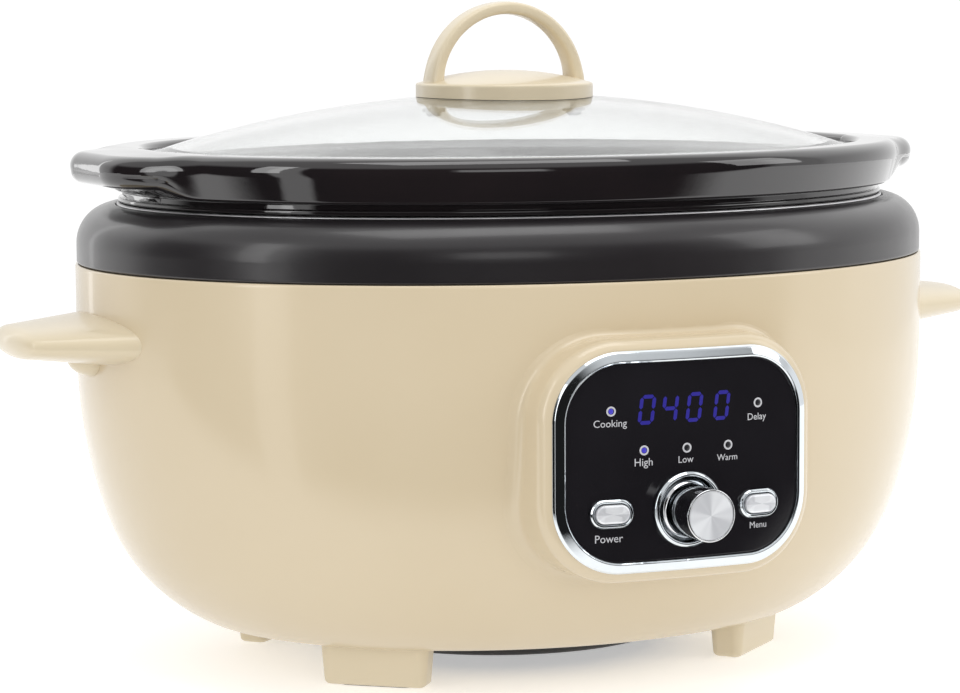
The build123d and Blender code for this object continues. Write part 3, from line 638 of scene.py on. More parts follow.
def lit_finish(name, colour, light, strength):
    finish = Finish(name, colour, 0.35, Emission_Strength=strength)
    finish.set("Emission Color", (*light, 1.0))
    finish.tone(tuple(value * 0.8 for value in colour), 900.0)
    return finish.uneven_gloss(400.0, 0.3, 0.4).material


def print_finish():
    finish = Finish("panel_print", (0.62, 0.62, 0.64), 0.45)
    finish.tone((0.50, 0.50, 0.53), 700.0)
    return finish.uneven_gloss(500.0, 0.4, 0.55).material


def plain_finishes():
    """The finishes of the CAD nodes that keep their own shapes, by material slot."""
    def enamel():
        finish = Finish("black_enamel", (0.014, 0.014, 0.015), 0.4)
        finish.tone((0.022, 0.021, 0.021), 40.0).uneven_gloss(90.0, 0.32, 0.5)
        return finish.grain(0.00005, fine=1500.0).worn((0.25, 0.25, 0.25), 0.5).material

    def metal(name, colour, roughness, fine=900.0):
        finish = Finish(name, colour, roughness, Metallic=1.0)
        darker = tuple(value * 0.8 for value in colour)
        finish.tone(darker, 120.0).uneven_gloss(200.0, roughness * 0.8, roughness * 1.3)
        finish.worn(tuple(min(1.0, value * 1.2) for value in colour), 0.6)
        return finish.grain(0.00003, fine=fine).material

    def soft(name, colour, roughness, depth=0.00006, fine=1600.0):
        finish = Finish(name, colour, roughness)
        darker = tuple(value * 0.78 for value in colour)
        finish.tone(darker, 80.0).uneven_gloss(150.0, roughness * 0.85, min(1.0, roughness * 1.15))
        return finish.grain(depth, fine=fine).material

    return {
        "black_enamel": enamel(),
        "zinc_screw": metal("zinc_screw", (0.62, 0.62, 0.60), 0.36),
        "black_rubber": soft("black_rubber", (0.028, 0.028, 0.029), 0.75),
        "clear_silicone": soft("clear_silicone", (0.75, 0.75, 0.72), 0.4),
        "liner_metal": metal("liner_metal", (0.66, 0.66, 0.67), 0.36),
        "heater_mica": soft("heater_mica", (0.45, 0.40, 0.33), 0.6),
        "insulation": soft("insulation", (0.85, 0.84, 0.80), 0.95, 0.0004, 600.0),
        "sensor_metal": metal("sensor_metal", (0.60, 0.60, 0.60), 0.36),
        "fuse_ceramic": soft("fuse_ceramic", (0.85, 0.83, 0.78), 0.35),
        "carrier_plastic": soft("carrier_plastic", (0.055, 0.055, 0.060), 0.5),
        "board_green": soft("board_green", (0.02, 0.18, 0.08), 0.35),
        "winding": soft("winding", (0.30, 0.16, 0.06), 0.45, 0.0001, 900.0),
        "capacitor_sleeve": soft("capacitor_sleeve", (0.03, 0.05, 0.14), 0.34),
    }


FINISHES = {}


def finish_of(slot_name):
    """The material for a slot, made once."""
    if not FINISHES:
        look = bpy.context.scene.cooker_colours
        FINISHES.update(plain_finishes())
        FINISHES.update({
            "ivory_gloss": ivory_finish("ivory_gloss", tuple(look.housing), 0.2),
            "ivory_satin": ivory_finish("ivory_satin", tuple(look.handles), 0.30),
            "charcoal_satin": charcoal_finish(),
            "crock_glaze": glaze_finish(),
            "chrome_trim": chrome_finish(),
            "knob_chrome": chrome_finish("knob_chrome", (0.74, 0.75, 0.77)),
            "spun_metal": spun_finish(),
            "lid_glass": glass_finish(),
            "panel_black": panel_finish(),
            "digit_glow": lit_finish("digit_glow", (0.01, 0.01, 0.05), tuple(look.digits), 0.4),
            "lamp_glow": lit_finish("lamp_glow", (0.03, 0.03, 0.15), tuple(look.digits), 0.7),
            "lamp_dark": lit_finish("lamp_dark", (0.012, 0.012, 0.016), (0.0, 0.0, 0.0), 0.0),
            "panel_print": print_finish(),
        })
    return FINISHES[slot_name]


# ------------------------------------------------------------------ settings

class CookerColours(bpy.types.PropertyGroup):
    housing: FloatVectorProperty(
        name="Housing", description="Colour of the moulded casing", subtype="COLOR",
        min=0.0, max=1.0, default=(0.70, 0.59, 0.415))
    handles: FloatVectorProperty(
        name="Handles and feet", description="Colour of the grips, the lid handle and the feet",
        subtype="COLOR", min=0.0, max=1.0, default=(0.75, 0.65, 0.47))
    digits: FloatVectorProperty(
        name="Display", description="Colour of the lit digits and lamps", subtype="COLOR",
        min=0.0, max=1.0, default=(0.05, 0.035, 0.60))


class CookerShape(bpy.types.PropertyGroup):
    seam_gap: FloatProperty(
        name="Seam gap", description="Gap between the casing and the collar", default=0.3 * MM,
        unit="LENGTH")
    boss_edge: FloatProperty(
        name="Panel block edge", description="Radius of the rounded edge round the panel",
        default=5.0 * MM, unit="LENGTH")
    boss_fillet: FloatProperty(
        name="Panel block fillet", description="Radius where the panel block runs into the casing",
        default=4.6 * MM, unit="LENGTH")
    lug_blend: FloatProperty(
        name="Lug blend", description="How softly the crock's lugs run into its rim",
        default=13.0 * MM, unit="LENGTH")


class StudioSettings(bpy.types.PropertyGroup):
    camera_place: FloatVectorProperty(
        name="Camera", description="Where the camera stands", subtype="TRANSLATION",
        unit="LENGTH", default=(-0.5750, -1.2269, 0.2705))
    camera_heading: FloatProperty(
        name="Heading", description="Camera's turn to the right of +Y", subtype="ANGLE",
        default=math.radians(24.365))
    camera_dip: FloatProperty(
        name="Dip", description="Camera's dip below the horizon", subtype="ANGLE",
        default=math.radians(6.119))
    camera_roll: FloatProperty(
        name="Roll", description="Camera's roll", subtype="ANGLE", default=math.radians(-0.267))
    lens: FloatProperty(
        name="Lens", description="Focal length in millimetres on a 36 mm sensor", default=125.53)


# ------------------------------------------------------------------ casing

def body_half(z):
    """The casing's half length at a height, read off its own profile."""
    path = belly_path(0.0, 40)[::-1]
    return np.interp(z, path[:, 1], path[:, 0])


def body_front(x, z):
    """The casing's front surface: y = -RATIO sqrt(a(z)^2 - x^2)."""
    return -RATIO * np.sqrt(np.maximum(body_half(z) ** 2 - x ** 2, 0))


def casing_shell():
    """The casing's wall as a closed ring: down the outside to the opening under the base and
    back up the inside. The opening has its own half depth."""
    seam = COLLAR_LOW_SEAM - bpy.context.scene.cooker_shape.seam_gap / MM
    half = COLLAR_HIGH[0] + 0.6
    outside, inside = belly_path(0.0), belly_path(WALL)
    top = rounded_path([inside[0], (half - WALL, seam), (half, seam), outside[0]],
                       [0, 0.5, 1.0, 0], steps=5, splits=4)
    under, floor = outside[-1, 1], inside[-1, 1]
    opening = np.array([[PAN_OPENING[0], under], [PAN_OPENING[0], floor]])
    mids = np.array([[(outside[-1, 0] + PAN_OPENING[0]) / 2, under]])
    path = np.vstack([top, outside[1:], mids, opening, inside[::-1][:-1]])
    depths = path[:, 0] * RATIO
    depths[path[:, 0] == PAN_OPENING[0]] = PAN_OPENING[1]
    return sheet(oval_turned(path, 320, depths), wrap_rows=True)


COLLAR_LOW_SEAM = 162.3


def boss_ring():
    """The block that carries the panel. Its rows are carried round a rounded rectangle: over
    the curved face, round the front edge, down the wall and out along a quadratic curve that
    meets the casing's own surface along its slope, then back inside."""
    shape = bpy.context.scene.cooker_shape
    edge, fillet = shape.boss_edge / MM, shape.boss_fillet / MM
    half = (LENS_HALF[0] + BOSS_MARGIN, LENS_HALF[1] + BOSS_MARGIN)
    corner = LENS_CORNER + BOSS_MARGIN
    inner, direction = box_outline(half, corner, 112)
    window = 1.7 - BOSS_MARGIN

    def spot(outside):
        across = inner + (corner + outside) * direction if np.isscalar(outside) else (
            inner + (corner + outside)[:, None] * direction)
        return across[:, 0], across[:, 1] + PANEL_MIDDLE_Z

    def row(outside, y_of):
        x, z = spot(outside)
        return np.stack([x, y_of(x, z), z], 1)

    def face(depth):
        return lambda x, z: panel_face(x) + BOSS_SINK + depth

    rows = [row(window, face(WALL)), row(window, face(0.4)), row(window - 0.15 + 0.4, face(0.05)),
            row(window + 0.6, face(0.0)), row((window - edge) / 2, face(0.0)), row(-edge - 0.4, face(0.0))]
    for turn in np.linspace(0, math.pi / 2, 13):
        rows.append(row(-edge + edge * math.sin(turn), face(edge * (1 - math.cos(turn)))))
    reach = fillet * (1.0 - 0.35 * np.clip(direction[:, 1], 0, 1))
    x0, z0 = spot(0.0)
    front = panel_face(x0) + BOSS_SINK + edge
    x1, z1 = spot(reach)
    x2, z2 = spot(reach + 0.5)
    landing = body_front(x1, z1)
    slope = (body_front(x2, z2) - landing) / 0.5
    elbow = landing - slope * reach
    top = np.maximum(elbow - reach * 1.15, front + 0.3)
    rows.append(np.stack([x0, front + (top - front) * 0.5, z0], 1))
    for part in np.linspace(0, 1, 15):
        near, mid, far = (1 - part) ** 2, 2 * part * (1 - part), part ** 2
        x, z = spot(reach * far)
        rows.append(np.stack([x, near * top + mid * elbow + far * landing, z], 1))
    rows.append(row(reach + 0.7, lambda x, z: body_front(x, z) + 0.25))
    rows.append(row(-WALL, lambda x, z: body_front(x, z) + 1.2))
    rows.append(row(-WALL, face(WALL + edge * 0.6)))
    rows.append(row(-WALL - edge * 0.6, face(WALL)))
    return sheet(np.array(rows), wrap_rows=True)


class COOKER_OT_casing(bpy.types.Operator):
    """The moulded casing: an oval belly with the raised block that carries the panel"""
    bl_idname = "cooker.casing"
    bl_label = "Casing"

    def execute(self, context):
        shell = make_mesh("casing_shell", [casing_shell()])
        inner, direction = box_outline((LENS_HALF[0] + 3.5, LENS_HALF[1] + 3.5), LENS_CORNER + 3.5, 48)
        across = inner + (LENS_CORNER + 3.5) * direction
        ends = [np.stack([across[:, 0] * k, np.full(len(across), y), PANEL_MIDDLE_Z + across[:, 1] * k], 1)
                for k, y in ((0.0, -175.0), (1.0, -175.0), (1.0, -95.0), (0.0, -95.0))]
        shell = cut(shell, make_mesh("window", [sheet(np.array(ends))]))
        block = make_mesh("block", [boss_ring()])
        joined = bmesh.new()
        joined.from_mesh(shell)
        joined.from_mesh(block)
        whole = bpy.data.meshes.new("housing_casing")
        joined.to_mesh(whole)
        joined.free()
        whole.shade_smooth()
        whole.set_sharp_from_angle(angle=math.radians(38))
        place(whole, "housing", "ivory_gloss", finish_of("ivory_gloss"), ["casing"])
        return {"FINISHED"}


class COOKER_OT_collar(bpy.types.Operator):
    """The dark collar above the seam, with its sunk lip"""
    bl_idname = "cooker.collar"
    bl_label = "Collar"

    def execute(self, context):
        side, top = COLLAR_HIGH[0], COLLAR_HIGH[2]
        seam, lip = COLLAR_LOW_SEAM, top - 1.6
        corners = [(side, seam), (side, top), (side - 16.0, top), (side - 16.0, lip), (157.2, lip),
                   (157.2, lip - WALL), (side - 2.8, lip - WALL), (side - 4.2, COLLAR_LOW[2]),
                   (side - 2.4, COLLAR_LOW[2]), (side - 2.4, seam)]
        radii = [0.9, 15.4, 0.6, 0.3, 0.6, 0.5, 12.0, 0.4, 0.4, 0.2]
        path = rounded_path(corners, radii, steps=14, splits=3, closed=True)
        mesh = make_mesh("housing_collar", [sheet(oval_turned(path, 320), wrap_rows=True)])
        place(mesh, "housing", "charcoal_satin", finish_of("charcoal_satin"), ["collar"])
        return {"FINISHED"}


class COOKER_OT_liner(bpy.types.Operator):
    """The heating pot, hung by its rolled flange"""
    bl_idname = "cooker.liner"
    bl_label = "Liner"

    def execute(self, context):
        low, high = node_box("liner")
        flange, bead = high[0], high[2]
        corners = [(0, low[2]), (138.0, low[2]), (156.8, bead - 2.3), (flange, bead - 2.3),
                   (flange, bead), (155.8, bead), (155.6, bead - 3.5), (137.0, low[2] + 1.0),
                   (0, low[2] + 1.0)]
        radii = [0, 19.0, 0.5, 1.0, 1.15, 1.15, 0.5, 18.0, 0]
        path = rounded_path(corners, radii, steps=8, splits=3)
        mesh = make_mesh("heating_liner", [sheet(oval_turned(path, 256))])
        place(mesh, "housing", "liner_metal", finish_of("liner_metal"), ["liner"])
        return {"FINISHED"}


# ------------------------------------------------------------------ crock

def oval_distance(x, y, half):
    """How far a point is outside an oval, to first order: (f - 1) f / |grad f| style."""
    f = np.sqrt((x / half) ** 2 + (y / (half * RATIO)) ** 2)
    slope = np.sqrt((x / half ** 2) ** 2 + (y / (half * RATIO) ** 2) ** 2) / f
    return (f - 1) / slope


def box_distance(x, y, half_x, half_y, corner):
    """How far a point is outside a rounded rectangle."""
    dx, dy = np.abs(x) - half_x + corner, np.abs(y) - half_y + corner
    outside = np.hypot(np.maximum(dx, 0), np.maximum(dy, 0))
    return outside + np.minimum(np.maximum(dx, dy), 0) - corner


def rim_angles(count):
    """Polar angles, crowded where the lugs run into the rim."""
    even = np.linspace(0, 2 * math.pi, 7201)
    end = np.abs((even + math.pi / 2) % math.pi - math.pi / 2)
    density = 1 + 7 * np.exp(-((end - math.radians(13.5)) / math.radians(4.5)) ** 2)
    density += 1.5 * (end < math.radians(12))
    total = np.concatenate([[0], np.cumsum((density[1:] + density[:-1]) / 2)])
    return np.interp(np.linspace(0, total[-1], count, endpoint=False), total, even)


def lugged_rows(path, lug_path, angles, blend):
    """Rows round the crock. Each is the outline where a smooth union of the oval and the lugs'
    rounded rectangle is zero, found by halving along every ray from the middle. Beyond the
    oval the height passes over to the lugs' own profile."""
    half, z = path[:, 0][:, None], path[:, 1][:, None]
    lug_x, lug_z = lug_path[:, 0][:, None], lug_path[:, 1][:, None]
    inset = LUG_END - lug_x
    half_y = np.maximum(LUG_HALF - inset, 4.0)
    corner = np.maximum(np.minimum(LUG_CORNER - inset, half_y - 0.5), 1.5)
    soft = np.maximum(blend * np.clip((lug_x - half) / 8.0, 0, 1), 1e-3)
    c, s = np.cos(angles)[None], np.sin(angles)[None]
    near, far = np.full((len(path), len(angles)), 90.0), np.full((len(path), len(angles)), 190.0)
    for _ in range(34):
        middle = (near + far) / 2
        first = oval_distance(middle * c, middle * s, half)
        second = box_distance(middle * c, middle * s, lug_x, half_y, corner)
        mix = np.clip(0.5 + 0.5 * (second - first) / soft, 0, 1)
        union = second * (1 - mix) + first * mix - soft * mix * (1 - mix)
        far = np.where(union > 0, middle, far)
        near = np.where(union > 0, near, middle)
    beyond = np.clip(oval_distance(near * c, near * s, half) / 7.0, 0, 1)
    weight = beyond ** 2 * (3 - 2 * beyond)
    return np.stack([near * c, near * s, z + (lug_z - z) * weight], -1)


class COOKER_OT_crock(bpy.types.Operator):
    """The lift-out glazed crock with its heavy rim, lid seat and two lugs"""
    bl_idname = "cooker.crock"
    bl_label = "Crock"

    def execute(self, context):
        low, high = node_box("crock")
        foot, top = low[2], high[2]
        below = rounded_path(
            [(0, foot), (134.8, foot), (154.6, 186.5), (160.3, 186.5), (160.3, 188.4), (158.4, 188.4),
             (158.4, 190.0)],
            [0, 20.0, 0.6, 0.7, 0.7, 0.3, 0], steps=7, splits=[4, 6, 2, 1, 1, 1, 1])
        corners = [(158.4, 190.0), (158.4, 190.8), (164.4, 190.8), (169.5, top), (150.2, top),
                   (149.8, 203.3)]
        lug_corners = [(158.4, 190.0), (158.4, 192.6), (177.8, 195.2), (LUG_END, 206.9), (150.2, top),
                       (149.8, 203.3)]
        splits = [1, 5, 4, 8, 3, 1]
        band = rounded_path(corners, [0, 0.6, 1.8, 5.4, 2.4, 0], steps=10, splits=splits)
        lugs = rounded_path(lug_corners, [0, 0.8, 4.8, 5.6, 2.4, 0], steps=10, splits=splits)
        above = rounded_path([(149.8, 203.3), (144.0, 203.3), (124.4, foot + 9), (0, foot + 9)],
                             [0, 2.6, 22.0, 0], steps=8, splits=[2, 6, 4, 1])
        angles = rim_angles(600)
        blend = bpy.context.scene.cooker_shape.lug_blend / MM

        def plain(path):
            c, s = np.cos(angles), np.sin(angles)
            reach = 1 / np.sqrt(c ** 2 + (s / RATIO) ** 2)
            return np.stack([np.outer(path[:, 0], reach * c), np.outer(path[:, 0], reach * s),
                             np.repeat(path[:, 1:], len(angles), 1)], -1)

        grid = np.vstack([plain(below[:-1]), lugged_rows(band, lugs, angles, blend), plain(above[1:])])
        mesh = make_mesh("crock_pot", [sheet(grid)])
        place(mesh, "crock", "crock_glaze", finish_of("crock_glaze"), ["crock"])
        return {"FINISHED"}


# ------------------------------------------------------------------ lid

def dome_ball(radius, edge_z, top_z):
    """The radius of the ball whose cap has this edge and top."""
    rise = top_z - edge_z
    return (radius ** 2 + rise ** 2) / (2 * rise)


def dome_path(radius, edge_z, top_z, steps):
    """A circular arc from the edge up to the middle, about a centre on the Z axis."""
    ball = dome_ball(radius, edge_z, top_z)
    turns = np.linspace(math.asin(radius / ball), 0, steps + 1)
    return np.stack([ball * np.sin(turns), top_z - ball * (1 - np.cos(turns))], 1)


class COOKER_OT_lid(bpy.types.Operator):
    """The domed glass lid with its flat edge"""
    bl_idname = "cooker.lid"
    bl_label = "Lid glass"

    def execute(self, context):
        low, high = node_box("lid_glass")
        edge, under = high[0], low[2]
        outer = dome_path(*LID_SHOULDER, LID_TOP, 40)[::-1]
        ball = dome_ball(*LID_SHOULDER, LID_TOP)
        inner = np.array([0, LID_TOP - ball]) + (ball - 3.0) / ball * (
            dome_path(LID_SHOULDER[0] - 0.6, LID_SHOULDER[1] + 0.19, LID_TOP, 40) - [0, LID_TOP - ball])
        rim = rounded_path([outer[-1], (edge, LID_SHOULDER[1] - 1.0), (edge, under), inner[0]],
                           [0, 1.5, 0.9, 0], steps=6, splits=3)
        path = np.vstack([outer, rim[1:-1], inner])
        mesh = make_mesh("lid_dome", [sheet(oval_turned(path, 288))])
        place(mesh, "lid", "lid_glass", finish_of("lid_glass"), ["lid_glass"])
        return {"FINISHED"}


class COOKER_OT_lid_handle(bpy.types.Operator):
    """The lid's round base and the arch that stands on it"""
    bl_idname = "cooker.lid_handle"
    bl_label = "Lid handle"

    def glass_height(self, x, y):
        """The glass's upper surface over a point near the middle."""
        ball = dome_ball(*LID_SHOULDER, LID_TOP)
        out = x ** 2 + (y / RATIO) ** 2
        return LID_TOP - ball + np.sqrt(ball ** 2 - out)

    def execute(self, context):
        low, high = node_box("lid_handle_base")
        edge_z = 231.8
        top = rounded_path(np.vstack([dome_path(DISC_RADIUS, edge_z, high[2], 16)[::-1],
                                      [[DISC_RADIUS, 230.0]]]),
                           [0] * 16 + [1.1, 0], steps=5, splits=1)
        turns = np.linspace(0, 2 * math.pi, 160, endpoint=False)
        over = np.stack([np.outer(top[:, 0], np.cos(turns)), np.outer(top[:, 0], np.sin(turns)),
                         np.repeat(top[:, 1:], len(turns), 1)], -1)
        reach = np.array([DISC_RADIUS, DISC_RADIUS - 0.6, 26.0, 12.0, 0.0])
        x, y = np.outer(reach, np.cos(turns)), np.outer(reach, np.sin(turns))
        under = np.stack([x, y, self.glass_height(x, y) + 0.12], -1)
        grid = np.vstack([over, under])
        base = make_mesh("lid_handle_disc", [sheet(grid)])
        place(base, "lid", "ivory_satin", finish_of("ivory_satin"), ["lid_handle_base"])

        thick, width = ARCH_SECTION
        middle = ARCH_RADIUS - thick / 2
        leg = np.linspace(227.5, ARCH_MIDDLE_Z, 5)[:-1]
        bend = np.linspace(0, math.pi, 65)
        line_x = np.concatenate([np.full(4, middle), middle * np.cos(bend), np.full(4, -middle)])
        line_z = np.concatenate([leg, ARCH_MIDDLE_Z + middle * np.sin(bend), leg[::-1]])
        lean = np.concatenate([np.zeros(4), bend, np.full(4, math.pi)])
        flare = 1 + 0.35 * np.exp(-np.abs(line_z - 229.0) / 4.0)
        angle = np.linspace(0, 2 * math.pi, 40, endpoint=False)
        power = 2 / 3.6
        out = np.sign(np.cos(angle)) * np.abs(np.cos(angle)) ** power * thick / 2
        side = np.sign(np.sin(angle)) * np.abs(np.sin(angle)) ** power * width / 2
        grow = np.minimum(flare, 1.12)[:, None]
        rows = np.stack([line_x[:, None] + np.cos(lean)[:, None] * out * grow,
                         np.repeat(side[None], len(lean), 0) * grow,
                         line_z[:, None] + np.sin(lean)[:, None] * out], -1)
        ends = [np.repeat(rows[i].mean(0)[None, None], len(angle), 1) for i in (0, -1)]
        arch = make_mesh("lid_handle_loop", [sheet(np.vstack([ends[0], rows, ends[1]]))])
        place(arch, "lid", "ivory_satin", finish_of("ivory_satin"), ["lid_handle_arch"])
        return {"FINISHED"}


# ------------------------------------------------------------------ grips and feet

def grip_rows(side):
    """A tapered bar along X with a rounded nose, stretched along Y: half height r(x), half
    width GRIP_SPREAD times r(x), with a section between an ellipse and a rectangle."""
    nose_x = GRIP_TIP - GRIP_NOSE
    root_x, root_r = GRIP_ROOT
    lean = math.asin((root_r - GRIP_NOSE) / (nose_x - root_x))
    turns = np.linspace(math.pi / 2 - lean, 0, 16)
    nose = np.stack([nose_x + GRIP_NOSE * np.cos(turns), GRIP_NOSE * np.sin(turns)], 1)
    start = np.array([167.5, np.interp(167.5, [root_x, nose[0, 0]], [root_r, nose[0, 1]])])
    part = np.linspace(0, 1, 14)[:-1, None]
    path = np.vstack([start + (nose[0] - start) * part, nose])
    angle = np.linspace(0, 2 * math.pi, 96, endpoint=False)
    power = 2 / 2.25
    wide = np.sign(np.cos(angle)) * np.abs(np.cos(angle)) ** power * GRIP_SPREAD
    tall = np.sign(np.sin(angle)) * np.abs(np.sin(angle)) ** power
    rows = np.stack([np.repeat(side * path[:, :1], len(angle), 1), np.outer(path[:, 1], wide),
                     GRIP_Z + np.outer(path[:, 1], tall)], -1)
    cap = np.tile([side * start[0], 0, GRIP_Z], (1, len(angle), 1))
    return np.vstack([cap, rows])


def grip_boss(side):
    """The rounded boss under the grip where its screws enter."""
    turns = np.linspace(0, math.pi, 25)
    angle = np.linspace(0, 2 * math.pi, 48, endpoint=False)
    wide, deep = 10.5, 8.0
    return np.stack([side * (177.0 + wide * np.outer(np.sin(turns), np.cos(angle))),
                     wide * np.outer(np.sin(turns), np.sin(angle)),
                     GRIP_Z - 7.0 + deep * np.repeat(np.cos(turns)[:, None], len(angle), 1)], -1)


class COOKER_OT_grips(bpy.types.Operator):
    """The two wing-shaped side grips"""
    bl_idname = "cooker.grips"
    bl_label = "Side grips"

    def execute(self, context):
        for name, side in (("left", -1), ("right", 1)):
            mesh = make_mesh("grip_" + name, [sheet(grip_rows(side)), sheet(grip_boss(side))])
            place(mesh, "housing", "ivory_satin", finish_of("ivory_satin"), ["side_handle_" + name])
        return {"FINISHED"}


def stack(half, corner, path, count=48):
    """A profile of (distance outside, height) carried round a rounded rectangle, closed by
    flat ends."""
    inner, direction = box_outline(half, corner, count)
    across = inner[None] + (corner + path[:, 0])[:, None, None] * direction[None]
    rows = np.concatenate([across, np.repeat(path[:, 1][:, None, None], across.shape[1], 1)], -1)
    ends = [rows[i] * [0, 0, 1] for i in (0, -1)]
    return np.vstack([ends[0][None], rows, ends[1][None]])


class COOKER_OT_feet(bpy.types.Operator):
    """Four tapered feet with their screw tabs"""
    bl_idname = "cooker.feet"
    bl_label = "Feet"

    def execute(self, context):
        for name, (x, y, turn) in FOOT_PLACES.items():
            low, high = node_box("foot_" + name)
            top, bottom = high[2], low[2]
            taper = (top - bottom) * math.tan(math.radians(5))
            block = stack(FOOT_HALF, 4.5, rounded_path(
                [(-3.0, top), (0, top), (-taper, bottom), (-5.6, bottom)], [0, 0.5, 1.9, 0],
                steps=7, splits=3), 48)
            tab = stack((11.0, 10.5), 2.5, rounded_path(
                [(-2.0, top), (0, top), (0, top - 5), (-2.0, top - 5)], [0, 0.4, 0.4, 0], splits=2), 32)
            tab = tab + [0, 10.5, 0]
            a = math.radians(turn)
            spin = np.array([[math.cos(a), math.sin(a), 0], [-math.sin(a), math.cos(a), 0], [0, 0, 1]])
            sheets = [sheet(part @ spin + [x, y, 0]) for part in (block, tab)]
            place(make_mesh("stand_" + name, sheets), "housing", "ivory_satin",
                  finish_of("ivory_satin"), ["foot_" + name])
        return {"FINISHED"}


# ------------------------------------------------------------------ panel

class COOKER_OT_panel(bpy.types.Operator):
    """The black lens, cut for the knob, the keys and the lamps, and its bright frame"""
    bl_idname = "cooker.panel"
    bl_label = "Panel"

    def execute(self, context):
        inner, direction = box_outline(LENS_HALF, LENS_CORNER, 96)
        edge = rounded_path([(-2.0, 0.0), (0.0, 0.0), (0.0, LENS_THICK), (-2.0, LENS_THICK)],
                            [0, 0.35, 0.2, 0], steps=4, splits=2)
        rim = np.stack([inner + (LENS_CORNER + s) * direction for s in edge[:, 0]])
        fill = np.linspace(0, 1, 16)[:-1]
        fronts = fill[:, None, None] * rim[0][None]
        backs = fill[::-1][:, None, None] * rim[-1][None]
        across = np.vstack([fronts, rim, backs])
        depth = np.concatenate([np.zeros(len(fill)), edge[:, 1], np.full(len(fill), LENS_THICK)])
        grid = np.stack([across[..., 0], panel_face(across[..., 0]) + depth[:, None],
                         PANEL_MIDDLE_Z + across[..., 1]], -1)
        lens = make_mesh("lens", [sheet(grid)])
        shaft = np.array([[0, -6.0], [12.45, -6.0], [12.45, 8.0], [0, 8.0]])
        lens = cut(lens, make_mesh("hole", [sheet(panel_turned(shaft, 0, CONTROL_Z))]))
        for side in (-1, 1):
            half = (BUTTON_HALF[0] + 0.85, BUTTON_HALF[1] + 0.85)
            path = np.array([[0, -6.0, 0.0], [0, -6.0, 1.0], [0, 6.0, 1.0], [0, 6.0, 0.0]])
            lens = cut(lens, make_mesh("slot", [sheet(key_loops(side, half, half[1] - 0.001, path))]))
        lens.name = "panel_face"
        lens.shade_smooth()
        lens.set_sharp_from_angle(angle=math.radians(38))
        place(lens, "housing", "panel_black", finish_of("panel_black"), ["panel_lens"])

        section = rounded_path(
            [(0.08, 4.5), (0.08, -0.9), (0.75, -1.45), (3.7, -0.2), (4.4, 0.7), (4.4, 1.1), (1.2, 1.1),
             (1.2, 4.5)], [0.1, 0.25, 0.35, 1.1, 0.3, 0.1, 0.1, 0.1], steps=8, splits=3, closed=True)
        bezel = make_mesh("panel_trim", [sheet(panel_loops(LENS_HALF, LENS_CORNER, section, 128),
                                               wrap_rows=True)], sharp=50)
        place(bezel, "housing", "chrome_trim", finish_of("chrome_trim"), ["bezel"])
        return {"FINISHED"}


class COOKER_OT_knob(bpy.types.Operator):
    """The turning knob, its spun face and the dished ring round it"""
    bl_idname = "cooker.knob"
    bl_label = "Knob"

    def execute(self, context):
        low, high = node_box("knob_body")
        front = low[1] - PANEL_FRONT
        radius = 9.9
        ring = rounded_path(
            [(14.2, 0.6), (14.2, -1.7), (13.2, -2.7), (12.5, -2.6), (11.75, 0.3), (11.2, 0.6),
             (4.6, 0.6), (4.6, 1.5), (14.2, 1.5)],
            [0, 0.9, 0.5, 0.5, 0.6, 0.3, 0.2, 0.2, 0], steps=6, splits=2, closed=True)
        mesh = make_mesh("knob_dish", [sheet(panel_turned(ring, 0, CONTROL_Z, 128), wrap_rows=True)])
        place(mesh, "housing", "chrome_trim", finish_of("chrome_trim"), ["knob_ring"])
        body = rounded_path(
            [(3.1, 0.2), (radius + 1.0, 0.2), (radius + 1.0, -1.6), (radius, -2.6),
             (radius - 0.1, front), (radius - 0.9, front), (radius - 0.9, front + 0.7),
             (0.4, front + 0.7), (0.4, front + 6.0), (3.1, front + 6.2)],
            [0, 0.2, 0.6, 0.6, 0.5, 0.25, 0.1, 0, 0, 0.1], steps=5, splits=2, closed=True)
        mesh = make_mesh("knob_barrel", [sheet(panel_turned(body, 0, CONTROL_Z, 128), wrap_rows=True)])
        place(mesh, "knob", "knob_chrome", finish_of("knob_chrome"), ["knob_body"])
        disc = np.array([[0.0, front + 0.28], [2.0, front + 0.26], [5.0, front + 0.2],
                         [8.0, front + 0.12], [8.7, front + 0.1], [8.95, front + 0.3],
                         [8.95, front + 0.65], [0.0, front + 0.65]])
        mesh = make_mesh("knob_disc", [sheet(panel_turned(disc, 0, CONTROL_Z, 128), wrap_rows=True)])
        place(mesh, "knob", "spun_metal", finish_of("spun_metal"), ["knob_face"])
        return {"FINISHED"}


